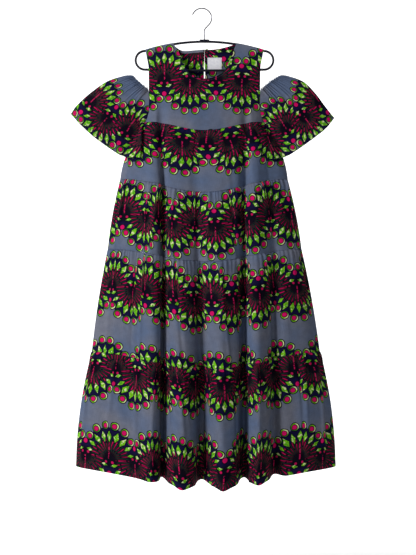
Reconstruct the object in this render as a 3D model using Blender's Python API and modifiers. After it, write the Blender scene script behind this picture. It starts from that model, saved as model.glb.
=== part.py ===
# Tiered cold-shoulder dress hanging on a wire hanger.
# Millimetres are used for the tables and the shape functions, metres for the mesh.
# The front of the dress faces -Y, the origin is the inside top of the hanger's hook,
# and the garment hangs from an empty that stands on the hook's stem.

import math
from collections import namedtuple

import bmesh
import bpy
import numpy as np

MM = 0.001

# Cloth and seams
WALL = 1.2
SEAM_GAP = 0.3
TRIM_WALL = 0.8

# Steps of the drawn lines: along a curve between two of its points, and round a seam
CURVE_STEPS = 24
SECTION_STEPS = 481

# How far the middle of a wall stops short of a seam, so that the wall's own corners,
# which tilt with the cloth, still stand the seam gap from the next piece
LEVEL_TRIM = 0.36
SIDE_TRIM = 0.6
SHOULDER_TRIM = 0.45

# Hanger: one bent body wire, a hook of thinner wire and a small saddle that joins them
BODY_WIRE = 6.0
HOOK_WIRE = 3.5
HOOK_RADIUS = 29.0
STEM_X = 8.0
STEM_BOTTOM = -91.6
BAR_TOP = -97.4
BAR_END_X = 176.7
BAR_DROP = 27.6
LOOP_RADIUS = 27.7
LOWER_BAR_SAG = 2.6
SADDLE = (28.0, 10.0, 6.0)

# Seam lines round the dress. Heights at the middle and at the sides, half widths to the
# left and right, depths in front and behind, how far the middle is shifted sideways, how
# much a valley lifts the line for each millimetre of its depth, and how far the sides of
# the tier below it bow out.
Seam = namedtuple("Seam", "middle side left right front back shift lift bow")
SEAMS = (
    Seam(-366, -338, 177, 177, 34, 32, 0, 0.03, 14),
    Seam(-548, -507, 250, 247, 48, 44, 0, 0.05, 4),
    Seam(-750, -713, 287, 288, 62, 54, 1, 0.08, 4),
    Seam(-1058, -1016, 334, 342, 78, 66, 2, 0.13, 11),
    Seam(-1393, -1357, 381, 389, 95, 78, 3, 0.25, 0),
)

# Standing folds. Place at the underarm and at the hem, depth at each of the five seam
# lines (a valley is positive, a ridge negative), half widths at the underarm and hem,
# and how far the crest leans sideways at the hem.
Fold = namedtuple("Fold", "x_top x_hem depths wide_top wide_hem lean")
FRONT_FOLDS = (
    Fold(-152, -162, (-4, -12, -15, -18, -22), 20, 27, 10),
    Fold(-127, -128, (7, 19, 26, 36, 46), 13, 19, 0),
    Fold(-80, -64, (0, -4, -10, -22, -34), 28, 27, 0),
    Fold(-28, -8, (0, 5, 13, 34, 56), 16, 21, 0),
    Fold(38, 53, (0, -4, -10, -24, -36), 30, 27, 0),
    Fold(121, 114, (7, 19, 27, 38, 48), 13, 19, 0),
    Fold(152, 161, (-4, -11, -15, -24, -32), 17, 21, -6),
    Fold(200, 201, (0, 4, 12, 24, 32), 18, 20, 0),
)
BACK_FOLDS = (
    Fold(-196, -214, (0, 4, 10, 20, 28), 20, 24, 0),
    Fold(-142, -158, (0, -8, -13, -20, -26), 24, 28, 8),
    Fold(-102, -112, (5, 14, 22, 32, 40), 15, 19, 0),
    Fold(-48, -52, (0, -4, -10, -20, -27), 28, 28, 0),
    Fold(8, 4, (0, 4, 12, 28, 40), 18, 22, 0),
    Fold(64, 66, (0, -5, -11, -20, -28), 28, 30, 0),
    Fold(112, 128, (5, 15, 22, 34, 44), 15, 20, 0),
    Fold(160, 182, (0, -7, -12, -18, -24), 26, 28, -6),
    Fold(214, 240, (0, 3, 9, 18, 24), 20, 24, 0),
)

# Tiers below the yoke. Number of gathers in front and behind, height of a gather and
# the puff under the seam.
Tier = namedtuple("Tier", "front_gathers back_gathers height puff")
TIERS = (
    Tier(0, 0, 0.0, 1.0),
    Tier(25, 24, 2.4, 3.0),
    Tier(25, 24, 2.8, 3.5),
    Tier(25, 24, 3.2, 4.0),
)
COLUMNS_A_GATHER = 3
PLAIN_COLUMNS = 50
GATHER_PEAK = 14.0
GATHER_END = 60.0

# Yoke outline, from the shoulder line down, on the wearer's garment seen from the front
SHOULDER_NECK_X = 95.0
SHOULDER_TIP_X = 175.5
ARMHOLE = ((-175.5, -121.0), (-171.0, -146.0), (-166.0, -172.0), (-165.0, -206.0),
           (-164.5, -243.0), (-163.5, -272.0), (-164.0, -300.0), (-168.0, -322.0),
           (-176.4, -337.6))
ARMHOLE_NOTCH = 4
FRONT_NECK = ((-95.0, -101.0), (-82.0, -120.0), (-68.0, -149.0), (-56.0, -177.0),
              (-40.0, -197.0), (-20.0, -208.0), (0.0, -211.0), (20.0, -209.0),
              (41.0, -201.0), (60.0, -185.0), (73.0, -159.0), (85.0, -129.0),
              (95.0, -101.0))
BACK_NECK_LEFT = ((-95.0, -101.0), (-83.0, -114.0), (-64.0, -123.0), (-30.0, -121.5),
                  (-0.8, -119.0))
BACK_NECK_RIGHT = ((95.0, -101.0), (80.0, -108.0), (50.0, -116.0), (24.0, -119.5),
                   (0.8, -120.0))
YOKE_COLUMNS = 36
BACK_COLUMNS = 18
TIP_COLUMNS = 7
WIRE_STEPS = (0.0, 0.0036, 0.013, 0.045)
YOKE_ROWS = (0.0, 0.1, 0.24, 0.42, 0.62, 0.84, 0.984, 0.9952, 1.0)

# The yoke's folds die out at this share of its height above the first seam
FOLD_SHARE = 0.38

# Opening in the middle of the back: a slit below the neck, closed by a button
SLIT_BOTTOM = -250.0
SLIT_HALF = 0.8
SLIT_BELLY = 2.4
SLIT_BELLY_AT = -196.0
SLIT_BELLY_REACH = 34.0
SLIT_OPENS_IN = 30.0

# Sleeves. Top fold from the elastic edge to the tip, hem from the tip to the underarm
# corner, and the fold under the arm, for the left sleeve and the right sleeve.
Sleeve = namedtuple("Sleeve", "top hem under")
LEFT_SLEEVE = Sleeve(
    ((-217.0, -197.5), (-240.0, -200.0), (-290.0, -217.0), (-340.0, -252.0),
     (-379.0, -288.0), (-396.0, -313.0)),
    ((-396.0, -313.0), (-370.0, -342.0), (-331.0, -377.0), (-283.0, -412.0),
     (-236.0, -440.0), (-188.0, -446.0)),
    ((-182.5, -341.0), (-187.0, -360.0), (-186.0, -398.0), (-188.0, -446.0)),
)
RIGHT_SLEEVE = Sleeve(
    ((-227.0, -197.5), (-247.0, -200.0), (-293.0, -217.0), (-329.0, -252.0),
     (-356.0, -288.0), (-385.0, -325.0)),
    ((-385.0, -325.0), (-363.0, -352.0), (-325.0, -382.0), (-280.0, -414.0),
     (-236.0, -441.0), (-192.0, -450.0)),
    ((-182.5, -341.0), (-187.0, -360.0), (-187.0, -398.0), (-192.0, -450.0)),
)
ELASTIC_TOP = (-194.0, -219.0)
ELASTIC_GATHERS = 6
ELASTIC_HEIGHT = 2.2
ELASTIC_REACH = 0.5
SLEEVE_COLUMNS_FREE = 18
SLEEVE_COLUMNS_SEWN = 10
SLEEVE_ROWS = (0.0, 0.09, 0.24, 0.46, 0.72, 1.0)
SLEEVE_SEAM = 1.4
UNDERARM_CLEAR = 4.5
UNDERARM_DEPTH = 3.2
UNDERARM_WRAP = 9.0
WRAP_FROM = 0.72
WRAP_RISE = 0.2
WRAP_FALL = 0.05
WRAP_START = 0.12
WRAP_BACK = (0.2, 0.7)
WRAP_FRONT = (0.15, 0.5)
SLEEVE_DEPTH_TOP = 15.0
SLEEVE_DEPTH_HEM = 21.0
SLEEVE_FILL = 1.6
SLEEVE_CLEAR = 4.4
SLEEVE_REACH = 30.0
SLEEVE_SPREAD = 6.0

# Small trim
LABEL_X = (9.0, 51.0)
LABEL_Z = (-181.0, -143.0)
FACING_X = (-72.0, -3.5)
FACING_HEIGHT = 7.0
BUTTON_X = 6.6
BUTTON_Z = -121.5
BUTTON_RADIUS = 5.2
BUTTON_THICK = 2.4
SHANK_RADIUS = 1.5
SHANK_LENGTH = 2.4
LOOP_WIRE = 1.0
LOOP_PLAY = 0.4
LOOP_END_X = -4.5
LOOP_HALF = 1.1


def smooth(value):
    held = np.clip(value, 0.0, 1.0)
    return held * held * (3.0 - 2.0 * held)


def mix(first, second, share):
    return first + (second - first) * share


def seam_value(column, level):
    values = [getattr(seam, column) for seam in SEAMS]
    return float(np.interp(level, range(len(SEAMS)), values))


def bar_height(x):
    return BAR_TOP - BAR_DROP * (np.asarray(x, float) / BAR_END_X) ** 2


# Points at even steps, or at given shares of the length, on a smooth line through points
def smooth_line(points, shares):
    knots = np.array(points, float)
    ends = np.vstack([2 * knots[0] - knots[1], knots, 2 * knots[-1] - knots[-2]])
    dense = []
    steps = np.linspace(0.0, 1.0, CURVE_STEPS, endpoint=False)[:, None]
    for k in range(1, len(ends) - 2):
        a, b, c, d = ends[k - 1:k + 3]
        dense.append(0.5 * (2 * b + (c - a) * steps + (2 * a - 5 * b + 4 * c - d) * steps ** 2
                            + (3 * b - a - 3 * c + d) * steps ** 3))
    dense = np.vstack(dense + [knots[-1:]])
    return at_shares(dense, shares)


def at_shares(line, shares, trim=0.0):
    run = np.concatenate([[0.0], np.cumsum(np.linalg.norm(np.diff(line, axis=0), axis=1))])
    places = trim + np.asarray(shares) * (run[-1] - 2 * trim)
    return np.stack([np.interp(places, run, line[:, k]) for k in range(line.shape[1])], 1)


def folds_at(face, level, x):
    depth = np.zeros_like(x)
    lean = np.zeros_like(x)
    for fold in FRONT_FOLDS if face == "front" else BACK_FOLDS:
        share = level / (len(SEAMS) - 1)
        place = mix(fold.x_top, fold.x_hem, share)
        wide = mix(fold.wide_top, fold.wide_hem, share)
        size = float(np.interp(level, range(len(SEAMS)), fold.depths))
        shape = np.exp(-((x - place) / wide) ** 2)
        depth += size * shape
        lean += fold.lean * (size / fold.depths[-1]) * shape
    return depth, lean


def lens(t):
    return (1.0 - np.abs(t) ** 2.4).clip(0.0) ** 0.6


# One line round the front or the back of the skirt, from the left seam to the right
def section(face, level, steps=SECTION_STEPS):
    t = np.sin(np.linspace(-math.pi / 2, math.pi / 2, steps))
    half = np.where(t < 0, seam_value("left", level), seam_value("right", level))
    down = level - int(level)
    half = half + SEAMS[int(level)].bow * 4 * down * (1 - down)
    x = seam_value("shift", level) * lens(t) + half * t
    depth, lean = folds_at(face, level, x)
    kept = 1.0 - np.abs(t) ** 8
    sign = -1.0 if face == "front" else 1.0
    y = sign * (seam_value(face, level) * lens(t) - depth * kept)
    smile = 0.5 + 0.5 * np.cos(math.pi * t)
    side = seam_value("side", level)
    z = side + (seam_value("middle", level) - side) * smile + seam_value("lift", level) * depth * kept
    return np.stack([x + lean * kept, y, z], 1)


# Gathers push the cloth out and in along its own outward direction
def gathered(line, gathers, height, push):
    flow = np.gradient(line, axis=0)
    outward = np.stack([flow[:, 1], -flow[:, 0], np.zeros(len(line))], 1)
    outward /= np.linalg.norm(outward, axis=1)[:, None]
    middle = len(line) // 2
    if outward[middle, 1] * line[middle, 1] < 0:
        outward = -outward
    shares = np.linspace(0.0, 1.0, len(line))
    turn = 2 * math.pi * gathers * shares
    uneven = 0.8 + 0.2 * np.sin(0.37 * turn + 1.3) * np.cos(0.11 * turn)
    ends = smooth(np.minimum(shares, 1.0 - shares) * 40.0)
    offset = (push + height * uneven * np.sin(turn + math.pi / 2)) * ends
    return line + outward * offset[:, None]


def tier_sheet(face, index):
    tier = TIERS[index]
    gathers = tier.front_gathers if face == "front" else tier.back_gathers
    columns = gathers * COLUMNS_A_GATHER if gathers else PLAIN_COLUMNS
    tall = SEAMS[index].side - SEAMS[index + 1].side
    drops = [LEVEL_TRIM, GATHER_PEAK, GATHER_END, tall - LEVEL_TRIM]
    if index == len(TIERS) - 1:
        drops.insert(3, mix(GATHER_END, tall, 0.5))
    rows = []
    shares = np.linspace(0.0, 1.0, columns + 1)
    for drop in drops:
        line = at_shares(section(face, index + drop / tall), shares, SIDE_TRIM)
        near = smooth(drop / GATHER_PEAK) * (1.0 - smooth((drop - GATHER_PEAK) / GATHER_END))
        height = tier.height * mix(0.16, 1.0, near) * (1.0 - smooth(drop / tall - 0.2))
        rows.append(gathered(line, gathers, height, tier.puff * near))
    return rows


# Depth of the yoke at a place: round the wire at the shoulder, then out to the seam
def yoke_depth(face, x, z):
    radius = BODY_WIRE / 2 + SEAM_GAP + WALL / 2
    top = bar_height(x) + radius
    drop = np.maximum(top - z, 0.0)
    arc = np.sqrt(np.maximum(radius ** 2 - np.maximum(radius - drop, 0.0) ** 2, 0.0))
    half = SEAMS[0].left
    t = np.clip(x / half, -1.0, 1.0)
    bottom = SEAMS[0].side + (SEAMS[0].middle - SEAMS[0].side) * (0.5 + 0.5 * np.cos(math.pi * t))
    share = np.clip((top - z) / (top - bottom), 0.0, 1.0)
    depth, _ = folds_at(face, 0.0, x)
    kept = (1.0 - np.abs(t) ** 8) * smooth((share - 1.0 + FOLD_SHARE) / FOLD_SHARE)
    full = getattr(SEAMS[0], face) * lens(t)
    size = arc * (1.0 - smooth(share)) + full * smooth(share) ** 0.8 - depth * kept
    size = np.maximum(size, arc * (1.0 - share))
    return -size if face == "front" else size


# Four edges, each a line of points in the X and Z plane, filled with even rows
def patch(left, right, bottom, top, row_shares):
    columns = len(bottom)
    across = np.linspace(0.0, 1.0, columns)
    rows = []
    for k, up in enumerate(row_shares):
        sides = left[k] * (1 - across)[:, None] + right[k] * across[:, None]
        ends = bottom * (1 - up) + top * up
        corners = ((bottom[0] * (1 - across)[:, None] + bottom[-1] * across[:, None]) * (1 - up)
                   + (top[0] * (1 - across)[:, None] + top[-1] * across[:, None]) * up)
        rows.append(sides + ends - corners)
    return rows


def shoulder_line(start, end, steps):
    x = np.linspace(start, end, steps)
    return np.stack([x, bar_height(x) + BODY_WIRE / 2 + SEAM_GAP + WALL / 2], 1)


def yoke_bottom(face, start, end, columns):
    line = section(face, 0.0)
    shares = np.linspace(start, end, columns + 1)
    points = at_shares(line, shares, SIDE_TRIM)
    points[:, 2] += LEVEL_TRIM
    return points[:, [0, 2]]


def with_depth(face, rows):
    sheets = []
    for row in rows:
        y = yoke_depth(face, row[:, 0], row[:, 1])
        y = np.minimum(y, -SHOULDER_TRIM) if face == "front" else np.maximum(y, SHOULDER_TRIM)
        sheets.append(np.stack([row[:, 0], y, row[:, 1]], 1))
    return sheets


def armhole_line(side):
    line = smooth_line(ARMHOLE[::-1], YOKE_ROWS)
    line[-1] = (-SHOULDER_TIP_X, shoulder_line(-SHOULDER_TIP_X, 0.0, 2)[0, 1])
    return line * (-1.0 if side > 0 else 1.0, 1.0)


# Shares along a neckline: short steps where it comes down round the wire, then even ones
def neck_shares(columns, both_ends):
    first = np.array(WIRE_STEPS)
    if not both_ends:
        return np.concatenate([first, np.linspace(first[-1], 1.0, columns - 2)[1:]])
    middle = np.linspace(first[-1], 1.0 - first[-1], columns - 5)[1:-1]
    return np.concatenate([first, middle, 1.0 - first[::-1]])


def back_top_edge(neck):
    tip = math.copysign(SHOULDER_TIP_X, neck[0][0])
    shoulder = shoulder_line(tip, neck[0][0], TIP_COLUMNS + 1)
    curve = [shoulder[-1]] + list(neck[1:])
    shares = neck_shares(BACK_COLUMNS - TIP_COLUMNS, False)
    return np.vstack([shoulder[:-1], smooth_line(curve, shares)])


def yoke_front_sheet():
    neck_columns = YOKE_COLUMNS - 2 * TIP_COLUMNS
    left = shoulder_line(-SHOULDER_TIP_X, -SHOULDER_NECK_X, TIP_COLUMNS + 1)
    right = shoulder_line(SHOULDER_NECK_X, SHOULDER_TIP_X, TIP_COLUMNS + 1)
    curve = [left[-1]] + list(FRONT_NECK[1:-1]) + [right[0]]
    neck = smooth_line(curve, neck_shares(neck_columns, True))
    top = np.vstack([left[:-1], neck, right[1:]])
    bottom = yoke_bottom("front", 0.0, 1.0, YOKE_COLUMNS)
    rows = patch(armhole_line(-1), armhole_line(1), bottom, top, YOKE_ROWS)
    return with_depth("front", rows)


def slit_half(z):
    belly = np.exp(-((z - SLIT_BELLY_AT) / SLIT_BELLY_REACH) ** 2) * (SLIT_BELLY - SLIT_HALF)
    opened = smooth((z - SLIT_BOTTOM) / SLIT_OPENS_IN)
    return mix(SEAM_GAP / 2, SLIT_HALF + belly, opened)


def yoke_back_sheet(side):
    neck = BACK_NECK_LEFT if side < 0 else BACK_NECK_RIGHT
    top = back_top_edge(neck)
    start = 0.0 if side < 0 else 1.0
    bottom = yoke_bottom("back", start, 0.5, BACK_COLUMNS)
    height = mix(bottom[-1, 1], top[-1, 1], np.array(YOKE_ROWS))
    bottom[-1, 0] = side * slit_half(height[0])
    centre = np.stack([side * slit_half(height), height], 1)
    rows = patch(armhole_line(side), centre, bottom, top, YOKE_ROWS)
    return with_depth("back", rows)


# Front of the skirt at a place just below the underarm, for what lies on it
def skirt_front(x, z):
    low, high = 0.0, 1.2
    for _ in range(24):
        level = (low + high) / 2
        line = section("front", level, 121)
        order = np.argsort(line[:, 0])
        height = np.interp(x, line[order, 0], line[order, 2])
        low, high = (level, high) if height > z else (low, level)
    inside = line[0, 0] < x < line[-1, 0]
    depth = np.interp(x, line[order, 0], line[order, 1]) if inside else 0.0
    return depth, x - line[0, 0]


# The inner edge of a sleeve is sewn to the armhole below the notch, and is free and drawn
# up on elastic above it. Gives that edge and the line of the yoke that it follows.
def sleeve_inner_edge(table):
    free = np.linspace(0.0, 1.0, SLEEVE_COLUMNS_FREE + 1)
    sewn = np.linspace(0.0, 1.0, SLEEVE_COLUMNS_SEWN + 1)[1:]
    seam = smooth_line(ARMHOLE[ARMHOLE_NOTCH:], sewn)
    along = np.gradient(seam, axis=0)
    along /= np.linalg.norm(along, axis=1)[:, None]
    clear = mix(SLEEVE_SEAM, UNDERARM_CLEAR, smooth((sewn - 0.5) / 0.5))
    beside = seam + np.stack([along[:, 1], -along[:, 0]], 1) * clear[:, None]
    beside[-1] = table.under[0]
    notch = np.array(ARMHOLE[ARMHOLE_NOTCH]) - (SLEEVE_SEAM, 0.0)
    elastic = smooth_line((table.top[0], ELASTIC_TOP, notch), free)
    inner = np.vstack([elastic, beside])
    edge = np.vstack([elastic + (SLEEVE_SEAM, 0.0), seam])
    return inner, edge


# Depths of a sleeve's front and back layer at one share of its length from the armhole
def sleeve_depths(edge, share, out):
    notch_at = SLEEVE_COLUMNS_FREE
    is_free = np.arange(len(share)) <= notch_at
    front = -yoke_depth("front", edge[:, 0], edge[:, 1])
    back = yoke_depth("back", edge[:, 0], edge[:, 1])
    rise = np.sqrt(np.clip(share / share[notch_at], 0.0, 1.0))
    front = np.where(is_free, front[notch_at] * rise, front)
    back = np.where(is_free, back[notch_at] * rise, back)
    front[-1] = UNDERARM_DEPTH
    back[-1] = -UNDERARM_DEPTH
    full = mix(SLEEVE_DEPTH_TOP, SLEEVE_DEPTH_HEM, out) * (4 * share * (1 - share)) ** 0.6
    wave = np.sin(2 * math.pi * ELASTIC_GATHERS * share / share[notch_at])
    wave *= ELASTIC_HEIGHT * is_free * (1 - smooth(out / ELASTIC_REACH)) * np.sqrt(rise)
    parted = smooth(out * SLEEVE_FILL)
    return mix(front, full, parted) + wave, mix(back, full, parted) + wave


# A sleeve is a flattened tube: its front layer and back layer meet at the top fold and
# at the fold under the arm. Below the underarm it lies on the skirt.
def sleeve_sheet(table):
    inner, edge = sleeve_inner_edge(table)
    around = len(inner)
    hem = smooth_line(table.hem, np.linspace(0, 1, around))
    rows_top = smooth_line(table.top, SLEEVE_ROWS)
    rows_under = smooth_line(table.under, SLEEVE_ROWS)
    rows = patch(rows_top, rows_under, inner, hem, SLEEVE_ROWS)
    share = np.linspace(0.0, 1.0, around)
    rings = []
    for k, out in enumerate(SLEEVE_ROWS):
        x, z = rows[k].T
        front, back = sleeve_depths(edge, share, out)
        y_front = -front
        y_back = back.copy()
        wrap = smooth((share - WRAP_FROM) / WRAP_RISE) * smooth((1.0 - share) / WRAP_FALL)
        wrap *= UNDERARM_WRAP * smooth(out / WRAP_START)
        x_back = x - wrap * (1.0 - smooth((out - WRAP_BACK[0]) / WRAP_BACK[1]))
        x_front = x - wrap * (1.0 - smooth((out - WRAP_FRONT[0]) / WRAP_FRONT[1]))
        if out > 0:
            lay_over_skirt(x_back, z, y_back, SLEEVE_CLEAR)
            lay_over_skirt(x_front, z, y_front, SLEEVE_CLEAR + SLEEVE_SPREAD)
            y_front = np.minimum(y_front, y_back - SLEEVE_SPREAD)
        y_front[0] = y_back[0] = (y_front[0] + y_back[0]) / 2
        y_front[-1] = y_back[-1] = (y_front[-1] + y_back[-1]) / 2
        front_layer = np.stack([x_front, y_front, z], 1)
        back_layer = np.stack([x_back, y_back, z], 1)
        rings.append(np.vstack([front_layer, back_layer[-2:0:-1]]))
    return rings


# A layer passes outside the skirt's side seam and then in front of the skirt
def lay_over_skirt(x, z, y, clear):
    for k in range(len(x)):
        depth, past = skirt_front(x[k], z[k])
        below = smooth((SEAMS[0].side - z[k]) / 10.0)
        near = smooth(1.0 + past / SLEEVE_REACH) * below
        y[k] = mix(y[k], min(y[k], depth - clear), near)


def new_material(name, colour, roughness, metallic=0.0):
    material = bpy.data.materials.new(name)
    material.use_nodes = True
    shader = material.node_tree.nodes["Principled BSDF"]
    shader.inputs["Base Color"].default_value = (*colour, 1.0)
    shader.inputs["Roughness"].default_value = roughness
    shader.inputs["Metallic"].default_value = metallic
    material.diffuse_color = (*colour, 1.0)
    return material


def add_object(name, mesh, material, collection, parent):
    piece = bpy.data.objects.new(name, mesh)
    collection.objects.link(piece)
    piece.data.materials.append(material)
    piece.parent = parent
    return piece


# A sheet of cloth: an open grid of points with an even wall added by Solidify
def add_cloth(name, rows, material, collection, parent, wall=WALL, ring=False):
    columns = len(rows[0])
    points = [tuple(point * MM) for row in rows for point in row]
    faces = []
    for r in range(len(rows) - 1):
        for c in range(columns if ring else columns - 1):
            after = (c + 1) % columns
            faces.append((r * columns + c, r * columns + after,
                          (r + 1) * columns + after, (r + 1) * columns + c))
    mesh = bpy.data.meshes.new(name)
    mesh.from_pydata(points, [], faces)
    mesh.update()
    piece = add_object(name, mesh, material, collection, parent)
    solid = piece.modifiers.new("wall", "SOLIDIFY")
    solid.thickness = wall * MM
    solid.offset = 0.0
    mesh.shade_smooth()
    return piece


# A patch of trim that lies on the inside of the back yoke, clear of it by the seam gap
def add_back_trim(name, rows, material, collection, parent):
    inset = WALL / 2 + SEAM_GAP + TRIM_WALL / 2
    sheets = []
    for row in rows:
        y = yoke_depth("back", row[:, 0], row[:, 1]) - inset
        sheets.append(np.stack([row[:, 0], y, row[:, 1]], 1))
    return add_cloth(name, sheets, material, collection, parent, wall=TRIM_WALL)


def add_wire(name, points, width, material, collection, parent, closed=False):
    curve = bpy.data.curves.new(name, "CURVE")
    curve.dimensions = "3D"
    curve.bevel_depth = width / 2 * MM
    curve.bevel_resolution = 2
    curve.use_fill_caps = not closed
    spline = curve.splines.new("POLY")
    spline.points.add(len(points) - 1)
    for place, point in zip(spline.points, points):
        place.co = (point[0] * MM, point[1] * MM, point[2] * MM, 1.0)
    spline.use_cyclic_u = closed
    return add_object(name, curve, material, collection, parent)


def hanger_outline():
    across = np.linspace(-BAR_END_X, BAR_END_X, 27)
    top = [(x, 0.0, float(bar_height(x))) for x in across]
    centre_z = float(bar_height(BAR_END_X)) - LOOP_RADIUS
    turns = np.linspace(math.pi / 2, -math.pi / 2, 12)[1:]
    right = [(BAR_END_X + LOOP_RADIUS * math.cos(a), 0.0, centre_z + LOOP_RADIUS * math.sin(a))
             for a in turns]
    low = centre_z - LOOP_RADIUS
    under = [(x, 0.0, low - LOWER_BAR_SAG * (1 - (x / BAR_END_X) ** 2))
             for x in np.linspace(BAR_END_X, -BAR_END_X, 9)[1:-1]]
    left = [(-x, y, z) for x, y, z in right[::-1]]
    return top + right + under + left


# The hook runs from its tip over the top and back under to the stem
def hook_line():
    centre_z = HOOK_WIRE / 2 - HOOK_RADIUS
    turns = np.radians(np.linspace(160, -44, 19))
    arc = [(HOOK_RADIUS * math.cos(a), 0.0, centre_z + HOOK_RADIUS * math.sin(a)) for a in turns]
    start = np.array(arc[-1])
    heading = np.array([math.sin(turns[-1]), 0.0, -math.cos(turns[-1])])
    end = np.array([STEM_X, 0.0, -78.0])
    bend = []
    for t in np.linspace(0, 1, 9)[1:]:
        first = start + heading * 22.0
        second = end + np.array([0.0, 0.0, 20.0])
        bend.append((1 - t) ** 3 * start + 3 * (1 - t) ** 2 * t * first
                    + 3 * (1 - t) * t ** 2 * second + t ** 3 * end)
    return arc + [tuple(p) for p in bend] + [(STEM_X, 0.0, STEM_BOTTOM)]


def add_cylinder(name, radius, length, segments, collection):
    mesh = bpy.data.meshes.new(name)
    shape = bmesh.new()
    bmesh.ops.create_cone(shape, cap_ends=True, segments=segments, radius1=radius * MM,
                          radius2=radius * MM, depth=length * MM)
    shape.to_mesh(mesh)
    shape.free()
    piece = bpy.data.objects.new(name, mesh)
    collection.objects.link(piece)
    return piece


# A small block that rides on the top bar under the stem, hollowed to fit over the bar
def add_saddle(material, collection, cutters, parent):
    mesh = bpy.data.meshes.new("saddle")
    shape = bmesh.new()
    bmesh.ops.create_cube(shape, size=1.0)
    bmesh.ops.scale(shape, vec=[size * MM for size in SADDLE], verts=shape.verts)
    shape.to_mesh(mesh)
    shape.free()
    saddle = add_object("hanger_saddle", mesh, material, collection, parent)
    top = STEM_BOTTOM - SEAM_GAP
    saddle.location = (0.0, 0.0, (top - SADDLE[2] / 2) * MM)
    rounded = saddle.modifiers.new("edges", "BEVEL")
    rounded.width = 0.8 * MM
    rounded.segments = 2
    cutter = add_cylinder("saddle_bar", BODY_WIRE / 2 + 0.45, SADDLE[0] + 8, 24, cutters)
    cutter.parent = parent
    cutter.location = (0.0, 0.0, BAR_TOP * MM)
    cutter.rotation_euler = (0.0, math.pi / 2, 0.0)
    cutter.hide_render = True
    cutter.display_type = "WIRE"
    cut = saddle.modifiers.new("bar", "BOOLEAN")
    cut.operation = "DIFFERENCE"
    cut.object = cutter
    return saddle


# A turned button with a shank, standing on the outside of the back beside the slit
def add_button(material, collection, parent):
    profile = ((0.0, 0.0), (SHANK_RADIUS, 0.0), (SHANK_RADIUS, SHANK_LENGTH),
               (BUTTON_RADIUS * 0.86, SHANK_LENGTH), (BUTTON_RADIUS, SHANK_LENGTH + 0.8),
               (BUTTON_RADIUS * 0.9, SHANK_LENGTH + BUTTON_THICK * 0.8),
               (BUTTON_RADIUS * 0.5, SHANK_LENGTH + BUTTON_THICK), (0.0, SHANK_LENGTH + BUTTON_THICK))
    mesh = bpy.data.meshes.new("button")
    points = [(r * MM, 0.0, h * MM) for r, h in profile[::-1]]
    mesh.from_pydata(points, [(k, k + 1) for k in range(len(points) - 1)], [])
    button = add_object("button", mesh, material, collection, parent)
    turned = button.modifiers.new("turned", "SCREW")
    turned.steps = 16
    turned.render_steps = 16
    turned.use_merge_vertices = True
    turned.merge_threshold = 0.00001
    outer = float(yoke_depth("back", BUTTON_X, BUTTON_Z)) + WALL / 2 + SEAM_GAP
    button.location = (BUTTON_X * MM, outer * MM, BUTTON_Z * MM)
    button.rotation_euler = (-math.pi / 2, 0.0, 0.0)
    return button


def add_button_loop(material, collection, parent):
    radius = SHANK_RADIUS + LOOP_WIRE / 2 + LOOP_PLAY
    outer = float(yoke_depth("back", BUTTON_X, BUTTON_Z)) + WALL / 2 + SEAM_GAP
    y = outer + SHANK_LENGTH / 2
    turns = np.radians(np.linspace(120, -120, 11))
    bow = [(BUTTON_X + radius * math.cos(a), y, BUTTON_Z + radius * math.sin(a)) for a in turns]
    upper = (LOOP_END_X, y, BUTTON_Z + LOOP_HALF)
    lower = (LOOP_END_X, y, BUTTON_Z - LOOP_HALF)
    return add_wire("button_loop", [upper] + bow + [lower], LOOP_WIRE, material, collection, parent)


def label_rows():
    across = np.linspace(LABEL_X[0], LABEL_X[1], 5)
    return [np.stack([across, np.full(5, z)], 1) for z in np.linspace(LABEL_Z[0], LABEL_Z[1], 5)]


def facing_rows():
    neck = smooth_line(BACK_NECK_LEFT[1:], np.linspace(0, 1, 40))
    across = np.linspace(FACING_X[0], FACING_X[1], 12)
    edge = np.interp(across, neck[:, 0], neck[:, 1]) - 0.5
    return [np.stack([across, edge - FACING_HEIGHT * share], 1) for share in (1.0, 0.5, 0.0)]


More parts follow.
